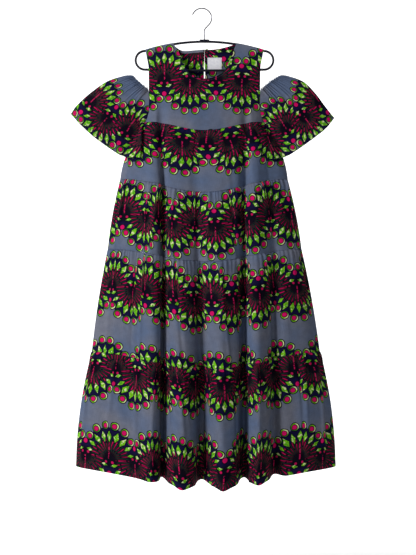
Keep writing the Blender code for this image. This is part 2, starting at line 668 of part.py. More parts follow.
def main():
    for old in list(bpy.data.objects):
        bpy.data.objects.remove(old)
    parts = bpy.data.collections.new("tiered_dress")
    cutters = bpy.data.collections.new("cutters")
    bpy.context.scene.collection.children.link(parts)
    bpy.context.scene.collection.children.link(cutters)
    stem = bpy.data.objects.new("stem", None)
    stem.location = (STEM_X * MM, 0.0, 0.0)
    parts.objects.link(stem)

    wire = new_material("coated_wire", (0.015, 0.015, 0.02), 0.38)
    steel = new_material("bright_steel", (0.55, 0.55, 0.56), 0.25, 1.0)
    saddle = new_material("saddle_black", (0.02, 0.02, 0.025), 0.45)
    add_wire("hanger_body", hanger_outline(), BODY_WIRE, wire, parts, stem, closed=True)
    add_wire("hanger_hook", hook_line(), HOOK_WIRE, steel, parts, None)
    add_saddle(saddle, parts, cutters, stem)

    shades = {
        "yoke_front": (0.11, 0.04, 0.08),
        "yoke_back_left": (0.10, 0.05, 0.08),
        "yoke_back_right": (0.09, 0.05, 0.09),
    }
    cloth = {name: new_material(name, colour, 0.75) for name, colour in shades.items()}
    add_cloth("yoke_front", yoke_front_sheet(), cloth["yoke_front"], parts, stem)
    add_cloth("yoke_back_left", yoke_back_sheet(-1), cloth["yoke_back_left"], parts, stem)
    add_cloth("yoke_back_right", yoke_back_sheet(1), cloth["yoke_back_right"], parts, stem)
    for index in range(len(TIERS)):
        for face in ("front", "back"):
            name = f"tier{index + 1}_{face}"
            tint = (0.09 + 0.02 * index, 0.05, 0.09 + (0.03 if face == "back" else 0.0))
            material = new_material(name, tint, 0.75)
            add_cloth(name, tier_sheet(face, index), material, parts, stem)
    for name, table, side in (("sleeve_left", LEFT_SLEEVE, 1.0), ("sleeve_right", RIGHT_SLEEVE, -1.0)):
        rings = [ring * (side, 1.0, 1.0) for ring in sleeve_sheet(table)]
        material = new_material(name, (0.12, 0.05, 0.07), 0.75)
        add_cloth(name, rings, material, parts, stem, ring=True)

    plain = new_material("neck_facing", (0.12, 0.14, 0.20), 0.8)
    white = new_material("neck_label", (0.72, 0.72, 0.74), 0.7)
    green = new_material("button", (0.42, 0.55, 0.22), 0.35)
    thread = new_material("button_loop", (0.03, 0.03, 0.08), 0.8)
    add_back_trim("neck_facing", facing_rows(), plain, parts, stem)
    add_back_trim("neck_label", label_rows(), white, parts, stem)
    add_button(green, parts, stem)
    add_button_loop(thread, parts, stem)


main()
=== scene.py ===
import math

import bpy
import numpy as np
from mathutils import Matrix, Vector


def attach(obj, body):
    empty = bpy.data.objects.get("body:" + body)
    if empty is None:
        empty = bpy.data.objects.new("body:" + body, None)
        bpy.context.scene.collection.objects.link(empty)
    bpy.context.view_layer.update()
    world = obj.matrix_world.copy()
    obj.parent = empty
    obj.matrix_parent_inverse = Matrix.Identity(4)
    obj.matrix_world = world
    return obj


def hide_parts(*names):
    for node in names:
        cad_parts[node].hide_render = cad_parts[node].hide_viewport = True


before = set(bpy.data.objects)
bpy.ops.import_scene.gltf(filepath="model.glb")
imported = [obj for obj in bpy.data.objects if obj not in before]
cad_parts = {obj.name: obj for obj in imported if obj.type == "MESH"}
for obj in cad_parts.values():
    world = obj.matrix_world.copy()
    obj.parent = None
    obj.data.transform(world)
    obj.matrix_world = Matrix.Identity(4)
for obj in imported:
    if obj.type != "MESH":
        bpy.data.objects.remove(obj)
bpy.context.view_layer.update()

print("frame loaded:", len(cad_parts), "nodes")

# The garment's sizes are millimetres from its own middle, which hangs 8 mm to the side
# of the hook, under its stem.
mm = 0.001
stemX = 8.0
seamGap = 0.3


def smooth(value):
    held = np.clip(value, 0.0, 1.0)
    return held * held * (3.0 - 2.0 * held)


def mix(first, second, share):
    return first + (second - first) * share


# The five seam lines from the underarm to the hem
seamLines = {
    "middle": (-366, -548, -750, -1058, -1393),
    "side": (-338, -507, -713, -1016, -1357),
    "left": (177, 250, 287, 334, 381),
    "right": (177, 247, 288, 342, 389),
    "front": (34, 48, 62, 78, 95),
    "back": (32, 44, 54, 66, 78),
    "shift": (0, 0, 1, 2, 3),
    "lift": (0.03, 0.05, 0.08, 0.13, 0.25),
    "bow": (14, 4, 4, 11, 0),
}

# Standing folds: place at the underarm, place at the hem, depth at the five seams
# (plus is a trough, minus a ridge), half width at the top and hem, lean at the hem
frontFolds = (
    (-152, -162, (-4, -12, -15, -18, -22), 20, 27, 10),
    (-127, -128, (7, 19, 26, 36, 46), 13, 19, 0),
    (-80, -64, (0, -4, -10, -22, -34), 28, 27, 0),
    (-28, -8, (0, 5, 13, 34, 56), 16, 21, 0),
    (38, 53, (0, -4, -10, -24, -36), 30, 27, 0),
    (121, 114, (7, 19, 27, 38, 48), 13, 19, 0),
    (152, 161, (-4, -11, -15, -24, -32), 17, 21, -6),
    (200, 201, (0, 4, 12, 24, 32), 18, 20, 0),
)
backFolds = (
    (-196, -214, (0, 4, 10, 20, 28), 20, 24, 0),
    (-142, -158, (0, -8, -13, -20, -26), 24, 28, 8),
    (-102, -112, (5, 14, 22, 32, 40), 15, 19, 0),
    (-48, -52, (0, -4, -10, -20, -27), 28, 28, 0),
    (8, 4, (0, 4, 12, 28, 40), 18, 22, 0),
    (64, 66, (0, -5, -11, -20, -28), 28, 30, 0),
    (112, 128, (5, 15, 22, 34, 44), 15, 20, 0),
    (160, 182, (0, -7, -12, -18, -24), 26, 28, -6),
    (214, 240, (0, 3, 9, 18, 24), 20, 24, 0),
)

# Ridges roll over the trough beside them: place, push, half width, seam where it starts
rolledLips = {
    "front": ((-147, 9.0, 13, 0.0), (139, -9.0, 13, 0.0), (-40, 9.0, 15, 1.4), (80, 10.0, 15, 1.2),
              (181, 7.0, 13, 0.8)),
    "back": ((-118, 6.0, 12, 0.0), (128, -6.0, 12, 0.0), (-18, 8.0, 15, 1.2), (38, -8.0, 15, 1.2),
             (-186, 6.0, 13, 0.8)),
}


def seamValue(column, level):
    return float(np.interp(level, range(5), seamLines[column]))


# -1 for the front, which faces -Y, and 1 for the back
def signOf(face):
    return -1.0 if face == "front" else 1.0


# Length along a line at each of its points
def runOf(line):
    return np.concatenate([[0.0], np.cumsum(np.linalg.norm(np.diff(line, axis=0), axis=1))])


# Points at given shares of a line's length
def atShares(line, shares, trim=0.0):
    run = runOf(line)
    places = trim + np.asarray(shares) * (run[-1] - 2 * trim)
    return np.stack([np.interp(places, run, line[:, k]) for k in range(line.shape[1])], 1)


# Smooth curve through points, at given shares of its length
def smoothLine(points, shares):
    knots = np.array(points, float)
    ends = np.vstack([2 * knots[0] - knots[1], knots, 2 * knots[-1] - knots[-2]])
    steps = np.linspace(0.0, 1.0, 40, endpoint=False)[:, None]
    dense = []
    for k in range(1, len(ends) - 2):
        a, b, c, d = ends[k - 1:k + 3]
        dense.append(0.5 * (2 * b + (c - a) * steps + (2 * a - 5 * b + 4 * c - d) * steps ** 2
                            + (3 * b - a - 3 * c + d) * steps ** 3))
    return atShares(np.vstack(dense + [knots[-1:]]), shares)


def foldsAt(face, level, x):
    depth = np.zeros_like(x)
    lean = np.zeros_like(x)
    for top, hem, depths, wideTop, wideHem, leaning in frontFolds if face == "front" else backFolds:
        size = float(np.interp(level, range(5), depths))
        shape = np.exp(-((x - mix(top, hem, level / 4)) / mix(wideTop, wideHem, level / 4)) ** 2)
        depth += size * shape
        lean += leaning * (size / depths[-1]) * shape
    return depth, lean


def lens(t):
    return (1.0 - np.abs(t) ** 2.4).clip(0.0) ** 0.6


# One line round the front or the back of the skirt, from the left seam to the right
def skirtLine(face, level, steps=1201, lips=True):
    t = np.sin(np.linspace(-math.pi / 2, math.pi / 2, steps))
    half = np.where(t < 0, seamValue("left", level), seamValue("right", level))
    down = level - int(level)
    half = half + seamLines["bow"][int(level)] * 4 * down * (1 - down)
    x = seamValue("shift", level) * lens(t) + half * t
    depth, lean = foldsAt(face, level, x)
    kept = 1.0 - np.abs(t) ** 8
    y = signOf(face) * (seamValue(face, level) * lens(t) - depth * kept)
    smile = 0.5 + 0.5 * np.cos(math.pi * t)
    side = seamValue("side", level)
    raised = depth * kept
    if lips:
        ridges = -36.0 * (np.abs(raised) / 36.0) ** 2.8
        lobes = np.where(raised < 0, ridges, 22.0 * np.tanh(raised / 22.0))
        raised = mix(raised, lobes, smooth(level - 3.0))
    z = side + (seamValue("middle", level) - side) * smile + seamValue("lift", level) * raised
    if lips:
        for place, push, wide, start in rolledLips[face]:
            lean = lean + push * smooth((level - start) / 1.2) * np.exp(-((x - place) / wide) ** 2)
    return np.stack([x + lean * kept, y, z], 1)


# Outward direction of a line that runs round the garment
def outwardOf(line):
    flow = np.gradient(line, axis=0)
    outward = np.stack([flow[:, 1], -flow[:, 0], np.zeros(len(line))], 1)
    outward /= np.linalg.norm(outward, axis=1)[:, None]
    return outward * (-1.0 if outward[len(line) // 2, 1] * line[len(line) // 2, 1] < 0 else 1.0)


def addObject(name, data):
    thing = bpy.data.objects.new(name, data)
    bpy.context.scene.collection.objects.link(thing)
    return thing


def addMesh(name, vertices, faces, material):
    mesh = bpy.data.meshes.new(name)
    mesh.from_pydata(vertices, [], faces)
    mesh.materials.append(material)
    return addObject(name, mesh)


def newMaterial(name):
    material = bpy.data.materials.new(name)
    material.use_nodes = True
    return material, NodePen(material.node_tree)


# Short hand for building node trees: each call makes nodes and gives their output
class NodePen:
    def __init__(self, tree):
        self.tree = tree

    def put(self, socket, value):
        if isinstance(value, bpy.types.NodeSocket):
            self.tree.links.new(value, socket)
        else:
            socket.default_value = value

    # values or outputs for the shader's own sockets, by name
    def shade(self, values):
        for name, value in values.items():
            self.put(self.tree.nodes["Principled BSDF"].inputs[name], value)

    def maths(self, operation, *values):
        node = self.tree.nodes.new("ShaderNodeMath")
        node.operation = operation
        for socket, value in zip(node.inputs, values):
            self.put(socket, value)
        return node.outputs[0]

    def add(self, a, b):
        return self.maths("ADD", a, b)

    def less(self, a, b):
        return self.maths("SUBTRACT", a, b)

    def times(self, a, b):
        return self.maths("MULTIPLY", a, b)

    def size(self, value):
        return self.maths("ABSOLUTE", value)

    # how far a point is from another, given the two distances along the axes
    def far(self, a, b):
        return self.maths("SQRT", self.add(self.times(a, a), self.times(b, b)))

    # 1 where value is under the limit, with an edge this soft
    def under(self, value, limit, soft=0.5):
        node = self.tree.nodes.new("ShaderNodeMapRange")
        self.put(node.inputs["Value"], value)
        node.inputs["From Min"].default_value = limit + soft
        node.inputs["From Max"].default_value = limit - soft
        return node.outputs[0]

    def spread(self, value, low, high, toLow=0.0, toHigh=1.0):
        node = self.tree.nodes.new("ShaderNodeMapRange")
        self.put(node.inputs["Value"], value)
        for name, number in zip(("From Min", "From Max", "To Min", "To Max"), (low, high, toLow, toHigh)):
            node.inputs[name].default_value = number
        return node.outputs[0]

    def blend(self, share, first, second):
        node = self.tree.nodes.new("ShaderNodeMix")
        node.data_type = "RGBA"
        self.put(node.inputs[0], share)
        for socket, value in zip(node.inputs[6:8], (first, second)):
            self.put(socket, value if isinstance(value, bpy.types.NodeSocket) else (*value, 1.0))
        return node.outputs[2]

    def vector(self, x, y, z=0.0):
        node = self.tree.nodes.new("ShaderNodeCombineXYZ")
        for socket, value in zip(node.inputs, (x, y, z)):
            self.put(socket, value)
        return node.outputs[0]

    def noise(self, vector, scale, detail=1.0, dimensions="2D"):
        node = self.tree.nodes.new("ShaderNodeTexNoise")
        node.noise_dimensions = dimensions
        self.put(node.inputs["Vector"], vector)
        node.inputs["Scale"].default_value = scale
        node.inputs["Detail"].default_value = detail
        return node.outputs[0], node.outputs[1]

    # 1 on the filled middle of each unit step
    def dashes(self, run, filled, soft):
        return self.under(self.size(self.less(self.maths("FRACT", run), 0.5)), filled, soft)

    # fine uneven threads both ways
    def grain(self, u, v):
        warp, _ = self.noise(self.vector(self.times(u, 1.2), self.times(v, 0.06)), 1.0, 1.0)
        weft, _ = self.noise(self.vector(self.times(u, 0.06), self.times(v, 1.2)), 1.0, 1.0)
        return self.add(warp, weft)

    def objectPlace(self):
        return self.tree.nodes.new("ShaderNodeTexCoord").outputs["Object"]

    def chance(self, vector):
        node = self.tree.nodes.new("ShaderNodeTexWhiteNoise")
        self.put(node.inputs["Vector"], vector)
        return node.outputs[0]

    def split(self, vector):
        node = self.tree.nodes.new("ShaderNodeSeparateXYZ")
        self.put(node.inputs[0], vector)
        return node.outputs[0], node.outputs[1], node.outputs[2]

    def clothMap(self):
        node = self.tree.nodes.new("ShaderNodeUVMap")
        node.uv_map = "cloth"
        x, y, _ = self.split(node.outputs[0])
        return self.times(x, 1000.0), self.times(y, 1000.0)

    def bump(self, height, strength, distance):
        node = self.tree.nodes.new("ShaderNodeBump")
        node.inputs["Strength"].default_value = strength
        node.inputs["Distance"].default_value = distance
        self.put(node.inputs["Height"], height)
        return node.outputs[0]


# The wax print: rows of fans that point up and down in turn, each of spokes, leaves and
# ringed dots, on a slate ground. Lengths are millimetres of flat cloth.
waxPrint = {
    "fanWidth": 153.0,
    "bandRepeat": 255.0,
    "leafRadius": 64.0, "leafStep": 18.5, "leafHalf": 7.8, "leafOut": 16.0, "leafIn": 15.0,
    "dotStep": 19.0, "dotSize": 13.0, "ringSize": 10.3, "coreSize": 6.2,
    "dotRadius": 95.0, "spokeStep": 12.5, "spokeReach": 56.0, "lobeHalf": 86.0, "lobeTall": 89.0,
    "blackReach": 55.0, "blackBand": 24.0, "betweenAt": 41.0, "betweenSize": 6.6,
    "ground": (0.100, 0.140, 0.238), "groundWarm": (0.168, 0.176, 0.224),
    "navy": (0.0045, 0.0035, 0.034), "black": (0.0015, 0.0015, 0.007),
    "pink": (0.60, 0.003, 0.115), "crimson": (0.52, 0.003, 0.085), "wine": (0.050, 0.001, 0.012),
    "teal": (0.010, 0.050, 0.030),
    "lime": (0.175, 0.50, 0.008), "leafGreen": (0.055, 0.30, 0.012), "cream": (0.66, 0.70, 0.36),
    "handWobble": 4.2,
}


def buildWaxPrint(look):
    tree = bpy.data.node_groups.new("wax print", "ShaderNodeTree")
    for name in ("Band At", "Fan At"):
        tree.interface.new_socket(name=name, in_out="INPUT", socket_type="NodeSocketFloat")
    tree.interface.new_socket(name="Color", in_out="OUTPUT", socket_type="NodeSocketColor")
    tree.interface.new_socket(name="Weave", in_out="OUTPUT", socket_type="NodeSocketFloat")
    given = tree.nodes.new("NodeGroupInput")
    result = tree.nodes.new("NodeGroupOutput")
    pen = NodePen(tree)
    u, v = pen.clothMap()
    flat = pen.vector(u, v)
    wobbleX, wobbleY, _ = pen.split(pen.noise(flat, 0.035, 2.0)[1])
    u1 = pen.add(u, pen.times(pen.less(wobbleX, 0.5), look["handWobble"]))
    v1 = pen.add(v, pen.times(pen.less(wobbleY, 0.5), look["handWobble"]))

    # place inside one fan: x across it and y up from the middle of the band
    half = look["fanWidth"] / 2
    bandPlace = pen.less(v1, given.outputs["Band At"])
    band = pen.maths("ROUND", pen.times(bandPlace, 1 / look["bandRepeat"]))
    y = pen.less(bandPlace, pen.times(band, look["bandRepeat"]))
    down = pen.maths("LESS_THAN", y, 0.0)
    fanPlace = pen.add(pen.less(u1, given.outputs["Fan At"]), pen.times(down, half))
    fan = pen.maths("ROUND", pen.times(fanPlace, 1 / look["fanWidth"]))
    x = pen.less(fanPlace, pen.times(fan, look["fanWidth"]))
    y = pen.size(y)
    reach = pen.far(x, y)
    turn = pen.maths("ARCTAN2", x, y)
    fanSeed = pen.add(pen.times(fan, 3.1), pen.add(pen.times(band, 17.3), pen.times(down, 7.7)))

    # across and along a motif that is repeated round the fan, and its number
    def aroundFan(stepDegrees, offset, low, high):
        step = math.radians(stepDegrees)
        number = pen.maths("ROUND", pen.add(pen.times(turn, 1 / step), -offset))
        number = pen.maths("MINIMUM", pen.maths("MAXIMUM", number, low), high)
        number = pen.add(number, offset)
        angle = pen.less(turn, pen.times(number, step))
        across = pen.times(reach, pen.maths("SINE", angle))
        return across, pen.times(reach, pen.maths("COSINE", angle)), number

    across, along, number = aroundFan(look["leafStep"], 0.0, -4.0, 4.0)
    luck = pen.chance(pen.vector(number, fanSeed))
    along = pen.less(along, look["leafRadius"])
    along = pen.add(along, pen.spread(luck, 0.0, 1.0, -1.5, 1.5))
    narrow = pen.spread(luck, 0.0, 1.0, 0.92 / look["leafHalf"], 1.2 / look["leafHalf"])
    wide = pen.times(pen.size(across), narrow)
    tall = pen.maths("MAXIMUM", pen.times(along, 1 / look["leafOut"]), pen.times(along, -1 / look["leafIn"]))
    leaf = pen.times(pen.add(wide, tall), pen.spread(pen.size(number), 2.0, 4.0, 1.0, 1.65))

    across, along, number = aroundFan(look["dotStep"], 0.5, -3.0, 2.0)
    away = pen.less(along, pen.less(look["dotRadius"], pen.times(pen.times(number, number), 1.6)))
    dot = pen.far(across, away)
    core = pen.far(pen.add(across, 1.0), pen.add(away, 0.7))

    # the plain dot between two fans
    gapX = pen.less(pen.size(x), half)
    between = pen.far(gapX, pen.less(y, look["betweenAt"]))

    # spokes: broken crimson bars with fine teal lines between them
    bar, _, number = aroundFan(look["spokeStep"], 0.0, -7.0, 7.0)
    spokeLuck = pen.chance(pen.vector(number, fanSeed, 4.0))
    barWide = pen.spread(reach, 17.0, 52.0, 0.15, 1.6)
    barMask = pen.under(pen.less(pen.size(bar), barWide), 0.0, 0.35)
    barMask = pen.times(barMask, pen.dashes(pen.add(pen.times(reach, 1 / 30.0), spokeLuck), 0.40, 0.04))
    barEnds = pen.times(pen.under(reach, look["spokeReach"], 2.0), pen.spread(reach, 9.0, 20.0))
    barMask = pen.times(barMask, barEnds)
    line = aroundFan(look["spokeStep"], 0.5, -7.0, 6.0)[0]
    lineMask = pen.under(pen.size(line), 0.6, 0.35)
    lineMask = pen.times(lineMask, pen.under(pen.size(pen.less(reach, 38.0)), 17.0, 3.0))
    stemMask = pen.times(pen.under(pen.size(x), 1.7, 0.4), pen.under(y, 44.0, 1.0))
    knot = pen.far(pen.add(gapX, 9.5), pen.less(y, 10.0))

    # colours
    blot, _ = pen.noise(flat, 0.17, 2.0)
    speck, _ = pen.noise(flat, 0.12, 1.0)
    cloud, _ = pen.noise(flat, 0.008, 2.0)
    grain = pen.grain(u, v)
    colour = pen.blend(pen.spread(cloud, 0.35, 0.65), look["ground"], look["groundWarm"])
    mottle, _ = pen.noise(flat, 0.06, 4.0)
    colour = pen.blend(pen.spread(mottle, 0.35, 0.65, 0.0, 0.22), colour, (0.075, 0.085, 0.125))
    colour = pen.blend(pen.spread(grain, 0.8, 1.2, 0.0, 0.24), colour, (0.06, 0.07, 0.10))
    lobeX, lobeY = pen.times(x, 1 / look["lobeHalf"]), pen.times(y, 1 / look["lobeTall"])
    lobe = pen.add(pen.times(lobeX, lobeX), pen.times(lobeY, lobeY))
    inner = pen.under(reach, look["blackReach"], 4.0)
    dark = pen.maths("MAXIMUM", inner, pen.under(y, look["blackBand"], 5.0))
    red = pen.blend(pen.spread(reach, 20.0, 46.0), look["wine"], look["crimson"])
    red = pen.blend(pen.spread(blot, 0.35, 0.6, 0.35, 0.0), red, look["wine"])
    dull = pen.spread(pen.maths("FRACT", pen.times(spokeLuck, 7.3)), 0.25, 0.6, 0.5, 0.0)
    red = pen.blend(dull, red, look["wine"])
    green = pen.blend(pen.spread(blot, 0.36, 0.56), look["leafGreen"], look["lime"])
    green = pen.blend(pen.spread(speck, 0.56, 0.66), green, look["cream"])
    creamy = pen.spread(pen.add(pen.times(across, 0.11), pen.times(blot, 1.6)), 1.1, 1.5)
    ring = pen.blend(creamy, look["lime"], look["cream"])
    ring = pen.blend(pen.spread(away, -8.0, -3.0, 0.8, 0.0), ring, look["leafGreen"])
    layers = (
        (pen.under(lobe, 1.0, 0.02), look["navy"]),
        (dark, look["black"]),
        (lineMask, look["teal"]),
        (barMask, red),
        (pen.times(stemMask, pen.spread(blot, 0.44, 0.50)), look["crimson"]),
        (pen.under(knot, 3.6, 0.5), look["crimson"]),
        (pen.under(leaf, 1.27, 0.05), look["black"]),
        (pen.under(leaf, 1.0, 0.05), green),
        (pen.under(dot, look["dotSize"]), look["black"]),
        (pen.under(dot, look["ringSize"]), ring),
        (pen.under(core, look["coreSize"] + 2.4), look["black"]),
        (pen.under(core, look["coreSize"]), look["pink"]),
        (pen.under(between, look["betweenSize"] + 2.0), look["black"]),
        (pen.under(between, look["betweenSize"]), look["pink"]),
    )
    for mask, shade in layers:
        colour = pen.blend(mask, colour, shade)
    tree.links.new(colour, result.inputs["Color"])

    # plain weave
    warp = pen.maths("SINE", pen.times(u, 2 * math.pi / 0.9))
    weft = pen.maths("SINE", pen.times(v, 2 * math.pi / 0.9))
    weave = pen.add(pen.times(warp, weft), pen.times(grain, 1.5))
    tree.links.new(weave, result.inputs["Weave"])
    return tree


printGroup = buildWaxPrint(waxPrint)


# stitchRows are the heights on the flat cloth of rows of stitches
def clothMaterial(name, bandAt, fanAt, stitchRows=()):
    material, pen = newMaterial(name)
    group = pen.tree.nodes.new("ShaderNodeGroup")
    group.node_tree = printGroup
    group.inputs["Band At"].default_value = bandAt
    group.inputs["Fan At"].default_value = fanAt
    u, v = pen.clothMap()
    colour, height = group.outputs["Color"], group.outputs["Weave"]
    dash = pen.dashes(pen.times(u, 1 / 3.2), 0.34, 0.05)
    for row in stitchRows:
        beside = pen.size(pen.less(v, row))
        stitch = pen.times(pen.under(beside, 0.45, 0.15), dash)
        colour = pen.blend(stitch, colour, (0.012, 0.012, 0.04))
        groove = pen.times(pen.under(beside, 1.4, 1.0), -4.0)
        height = pen.add(height, pen.add(pen.times(stitch, 3.0), groove))
    worn, _ = pen.noise(pen.vector(u, v), 0.02, 3.0)
    pen.shade({"Base Color": colour, "Roughness": pen.spread(worn, 0.3, 0.7, 0.70, 0.84),
               "Normal": pen.bump(height, 0.25, 0.0002), "Specular IOR Level": 0.06,
               "Sheen Weight": 0.01, "Sheen Roughness": 0.5})
    return material


# Mesh of a sheet of cloth from a grid of points: two faces and the edge between them
def makeCloth(name, grid, cloth, thick, material, outward):
    points = np.asarray(grid, float)
    rows, columns = points.shape[:2]
    across = np.gradient(points, axis=1)
    upward = np.gradient(points, axis=0)
    normal = np.cross(across, upward)
    normal /= np.linalg.norm(normal, axis=2)[:, :, None] + 1e-12
    if np.sum(normal * outward) < 0:
        points = points[:, ::-1]
        normal = -normal[:, ::-1]
        cloth = np.asarray(cloth)[:, ::-1]
    wall = np.broadcast_to(np.asarray(thick, float), (rows, columns))[:, :, None]
    outer = points + normal * wall / 2
    inner = points - normal * wall / 2
    vertices = (np.vstack([outer.reshape(-1, 3), inner.reshape(-1, 3)]) + (stemX, 0.0, 0.0)) * mm
    number = np.arange(rows * columns).reshape(rows, columns)
    a, b, c, d = number[:-1, :-1], number[:-1, 1:], number[1:, 1:], number[1:, :-1]
    front = np.stack([a, b, c, d], 2).reshape(-1, 4)
    back = front[:, ::-1] + rows * columns
    total = rows * columns
    edge = np.concatenate([number[0, :], number[1:, -1], number[-1, -2::-1], number[-2::-1, 0]])
    rim = np.stack([edge[1:], edge[:-1], edge[:-1] + total, edge[1:] + total], 1)
    faces = np.vstack([front, back, rim])
    piece = addMesh(name, vertices.tolist(), faces.tolist(), material)
    mesh = piece.data
    layer = mesh.uv_layers.new(name="cloth")
    flat = np.vstack([np.asarray(cloth, float).reshape(-1, 2)] * 2) * mm
    layer.uv.foreach_set("vector", flat[faces.reshape(-1)].astype(np.float32).ravel())
    mesh.shade_smooth()
    mesh.set_sharp_from_angle(angle=math.radians(60))
    return piece


def dressPiece(piece, node):
    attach(piece, "root")
    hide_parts(node)


# Tiers. Cut sizes are of flat cloth; gathers stand under the seam, tucks run down
tierLooks = (
    {"topCut": 450, "cut": 580, "height": 184, "gather": 0.9, "spacing": 14, "tucks": 6, "tuckHigh": 2.4,
     "bandAt": -39, "fanAt": 12, "backFanAt": -40},
    {"topCut": 785, "cut": 785, "height": 206, "gather": 3.0, "spacing": 12, "tucks": 10, "tuckHigh": 3.8,
     "bandAt": -100, "fanAt": -32, "backFanAt": 24},
    {"topCut": 970, "cut": 970, "height": 310, "gather": 3.4, "spacing": 12, "tucks": 12, "tuckHigh": 4.4,
     "bandAt": -111, "fanAt": 30, "backFanAt": -10},
    {"topCut": 1190, "cut": 1190, "height": 338, "gather": 3.6, "spacing": 12, "tucks": 14, "tuckHigh": 5.0,
     "bandAt": -42, "fanAt": -10, "backFanAt": 60},
)
tierColumns = 380
clothWall = 0.7
hemTurn, hemWall = 12.5, 1.5
seamTrim = 0.35  # cloth stops this far from the side seam's line
seamRow, hemRow = -2.2, 11.5  # rows of stitches, from the tier's seam and up from its hem


# Small forms of one tier: how far each point stands out, and how much cloth is drawn in
def smallForms(look, run, drops, tall, seed):
    luck = np.random.default_rng(seed)
    width = run[-1]
    high = np.zeros((len(drops), len(run)))
    drawn = np.zeros_like(high)
    place = 6.0
    while place < width - 6.0:
        gap = look["spacing"] * luck.uniform(0.62, 1.45)
        size = look["gather"] * luck.uniform(0.5, 1.35)
        length = luck.uniform(22, 58) if luck.random() < 0.7 else luck.uniform(70, 150)
        slant = luck.normal(0.0, 0.035)
        for k, drop in enumerate(drops):
            fade = math.exp(-(drop / length) ** 1.6) * min(1.0, 0.35 + drop / 6.0)
            high[k] += size * fade * np.exp(-((run - place - slant * drop) / (0.33 * gap)) ** 2)
        place += gap
    for number in range(look["tucks"]):
        place = width * (number + luck.uniform(0.2, 0.8)) / look["tucks"]
        size = look["tuckHigh"] * luck.uniform(0.55, 1.3) * luck.choice((-1.0, 1.0, 1.0))
        half = luck.uniform(4.5, 8.0)
        slant = luck.normal(0.0, 0.04)
        length = tall * luck.uniform(0.55, 1.6)
        pulled = luck.uniform(0.8, 2.2)
        for k, drop in enumerate(drops):
            fade = math.exp(-(drop / length) ** 2) * min(1.0, 0.3 + drop / 10.0)
            shape = np.exp(-((run - place - slant * drop) / half) ** 2)
            high[k] += size * fade * shape
            drawn[k] += pulled * fade * shape
    # broad soft waves that keep the middle of the tier from lying flat
    for number in range(int(width / 45)):
        place = luck.uniform(0.0, width)
        half = luck.uniform(14, 26)
        size = look["gather"] * luck.uniform(-0.7, 0.9)
        slant = luck.normal(0.0, 0.05)
        middle = luck.uniform(0.2, 0.9) * tall
        for k, drop in enumerate(drops):
            fade = math.exp(-((drop - middle) / (0.5 * tall)) ** 2)
            high[k] += size * fade * np.exp(-((run - place - slant * drop) / half) ** 2)
    ends = smooth(np.minimum(run, width - run) / 9.0)
    return high * ends, drawn


def tierGrid(face, index):
    look = tierLooks[index]
    tall = seamLines["side"][index] - seamLines["side"][index + 1]
    last = index == len(tierLooks) - 1
    steps = np.linspace(0.0, 1.0, 46 if index < 2 else 58)
    drops = 0.2 + (tall - 0.4) * steps ** 1.22
    if last:
        hemRows = tall - np.array([hemTurn + 0.5, hemTurn - 0.5, 1.0])
        drops = np.sort(np.concatenate([drops, hemRows]))
    shares = np.linspace(0.0, 1.0, tierColumns + 1)
    levels = index + np.minimum(drops / tall, 0.9999)
    lines = [atShares(skirtLine(face, level), shares, seamTrim) for level in levels]
    middle = lines[len(lines) // 2]
    run = runOf(middle)
    high, drawn = smallForms(look, run, drops, tall, 11 + 7 * index + (3 if face == "back" else 0))
    grid, cloth = [], []
    for k, line in enumerate(lines):
        puff = 1.6 * (0 if index == 0 else 1) * math.exp(-((drops[k] - 16.0) / 13.0) ** 2)
        tuckIn = 1.3 * math.exp(-(drops[k] / 1.6) ** 2)
        ends = smooth(np.minimum(run, run[-1] - run) / 12.0)
        moved = line + outwardOf(line) * (high[k] + (puff - tuckIn) * ends)[:, None]
        if last:
            moved[:, 2] += 0.35 * high[k] * smooth(drops[k] / tall)
        grid.append(moved)
        step = np.linalg.norm(np.diff(moved, axis=0), axis=1) * (1.0 + (drawn[k][1:] + drawn[k][:-1]) / 2)
        total = np.concatenate([[0.0], np.cumsum(step)])
        u = mix(look["topCut"], look["cut"], drops[k] / tall) * (total / total[-1] - 0.5)
        cloth.append(np.stack([u, np.full(len(u), -look["height"] * drops[k] / tall)], 1))
    return np.array(grid), np.array(cloth), drops, tall


def makeTiers():
    for index, look in enumerate(tierLooks):
        for face in ("front", "back"):
            grid, cloth, drops, tall = tierGrid(face, index)
            fanAt = look["fanAt"] if face == "front" else look["backFanAt"]
            name = f"tier{index + 1}_{face}"
            stitchRows = (seamRow, hemRow - look["height"]) if index == 3 else (seamRow,)
            material = clothMaterial(f"print {name}", look["bandAt"], fanAt, stitchRows)
            thick = np.where((drops > tall - hemTurn) & (index == 3), hemWall, clothWall)
            outward = np.array([0.0, signOf(face), 0.0])
            piece = makeCloth(f"cloth_{name}", grid, cloth, thick[:, None], material, outward)
            dressPiece(piece, name)


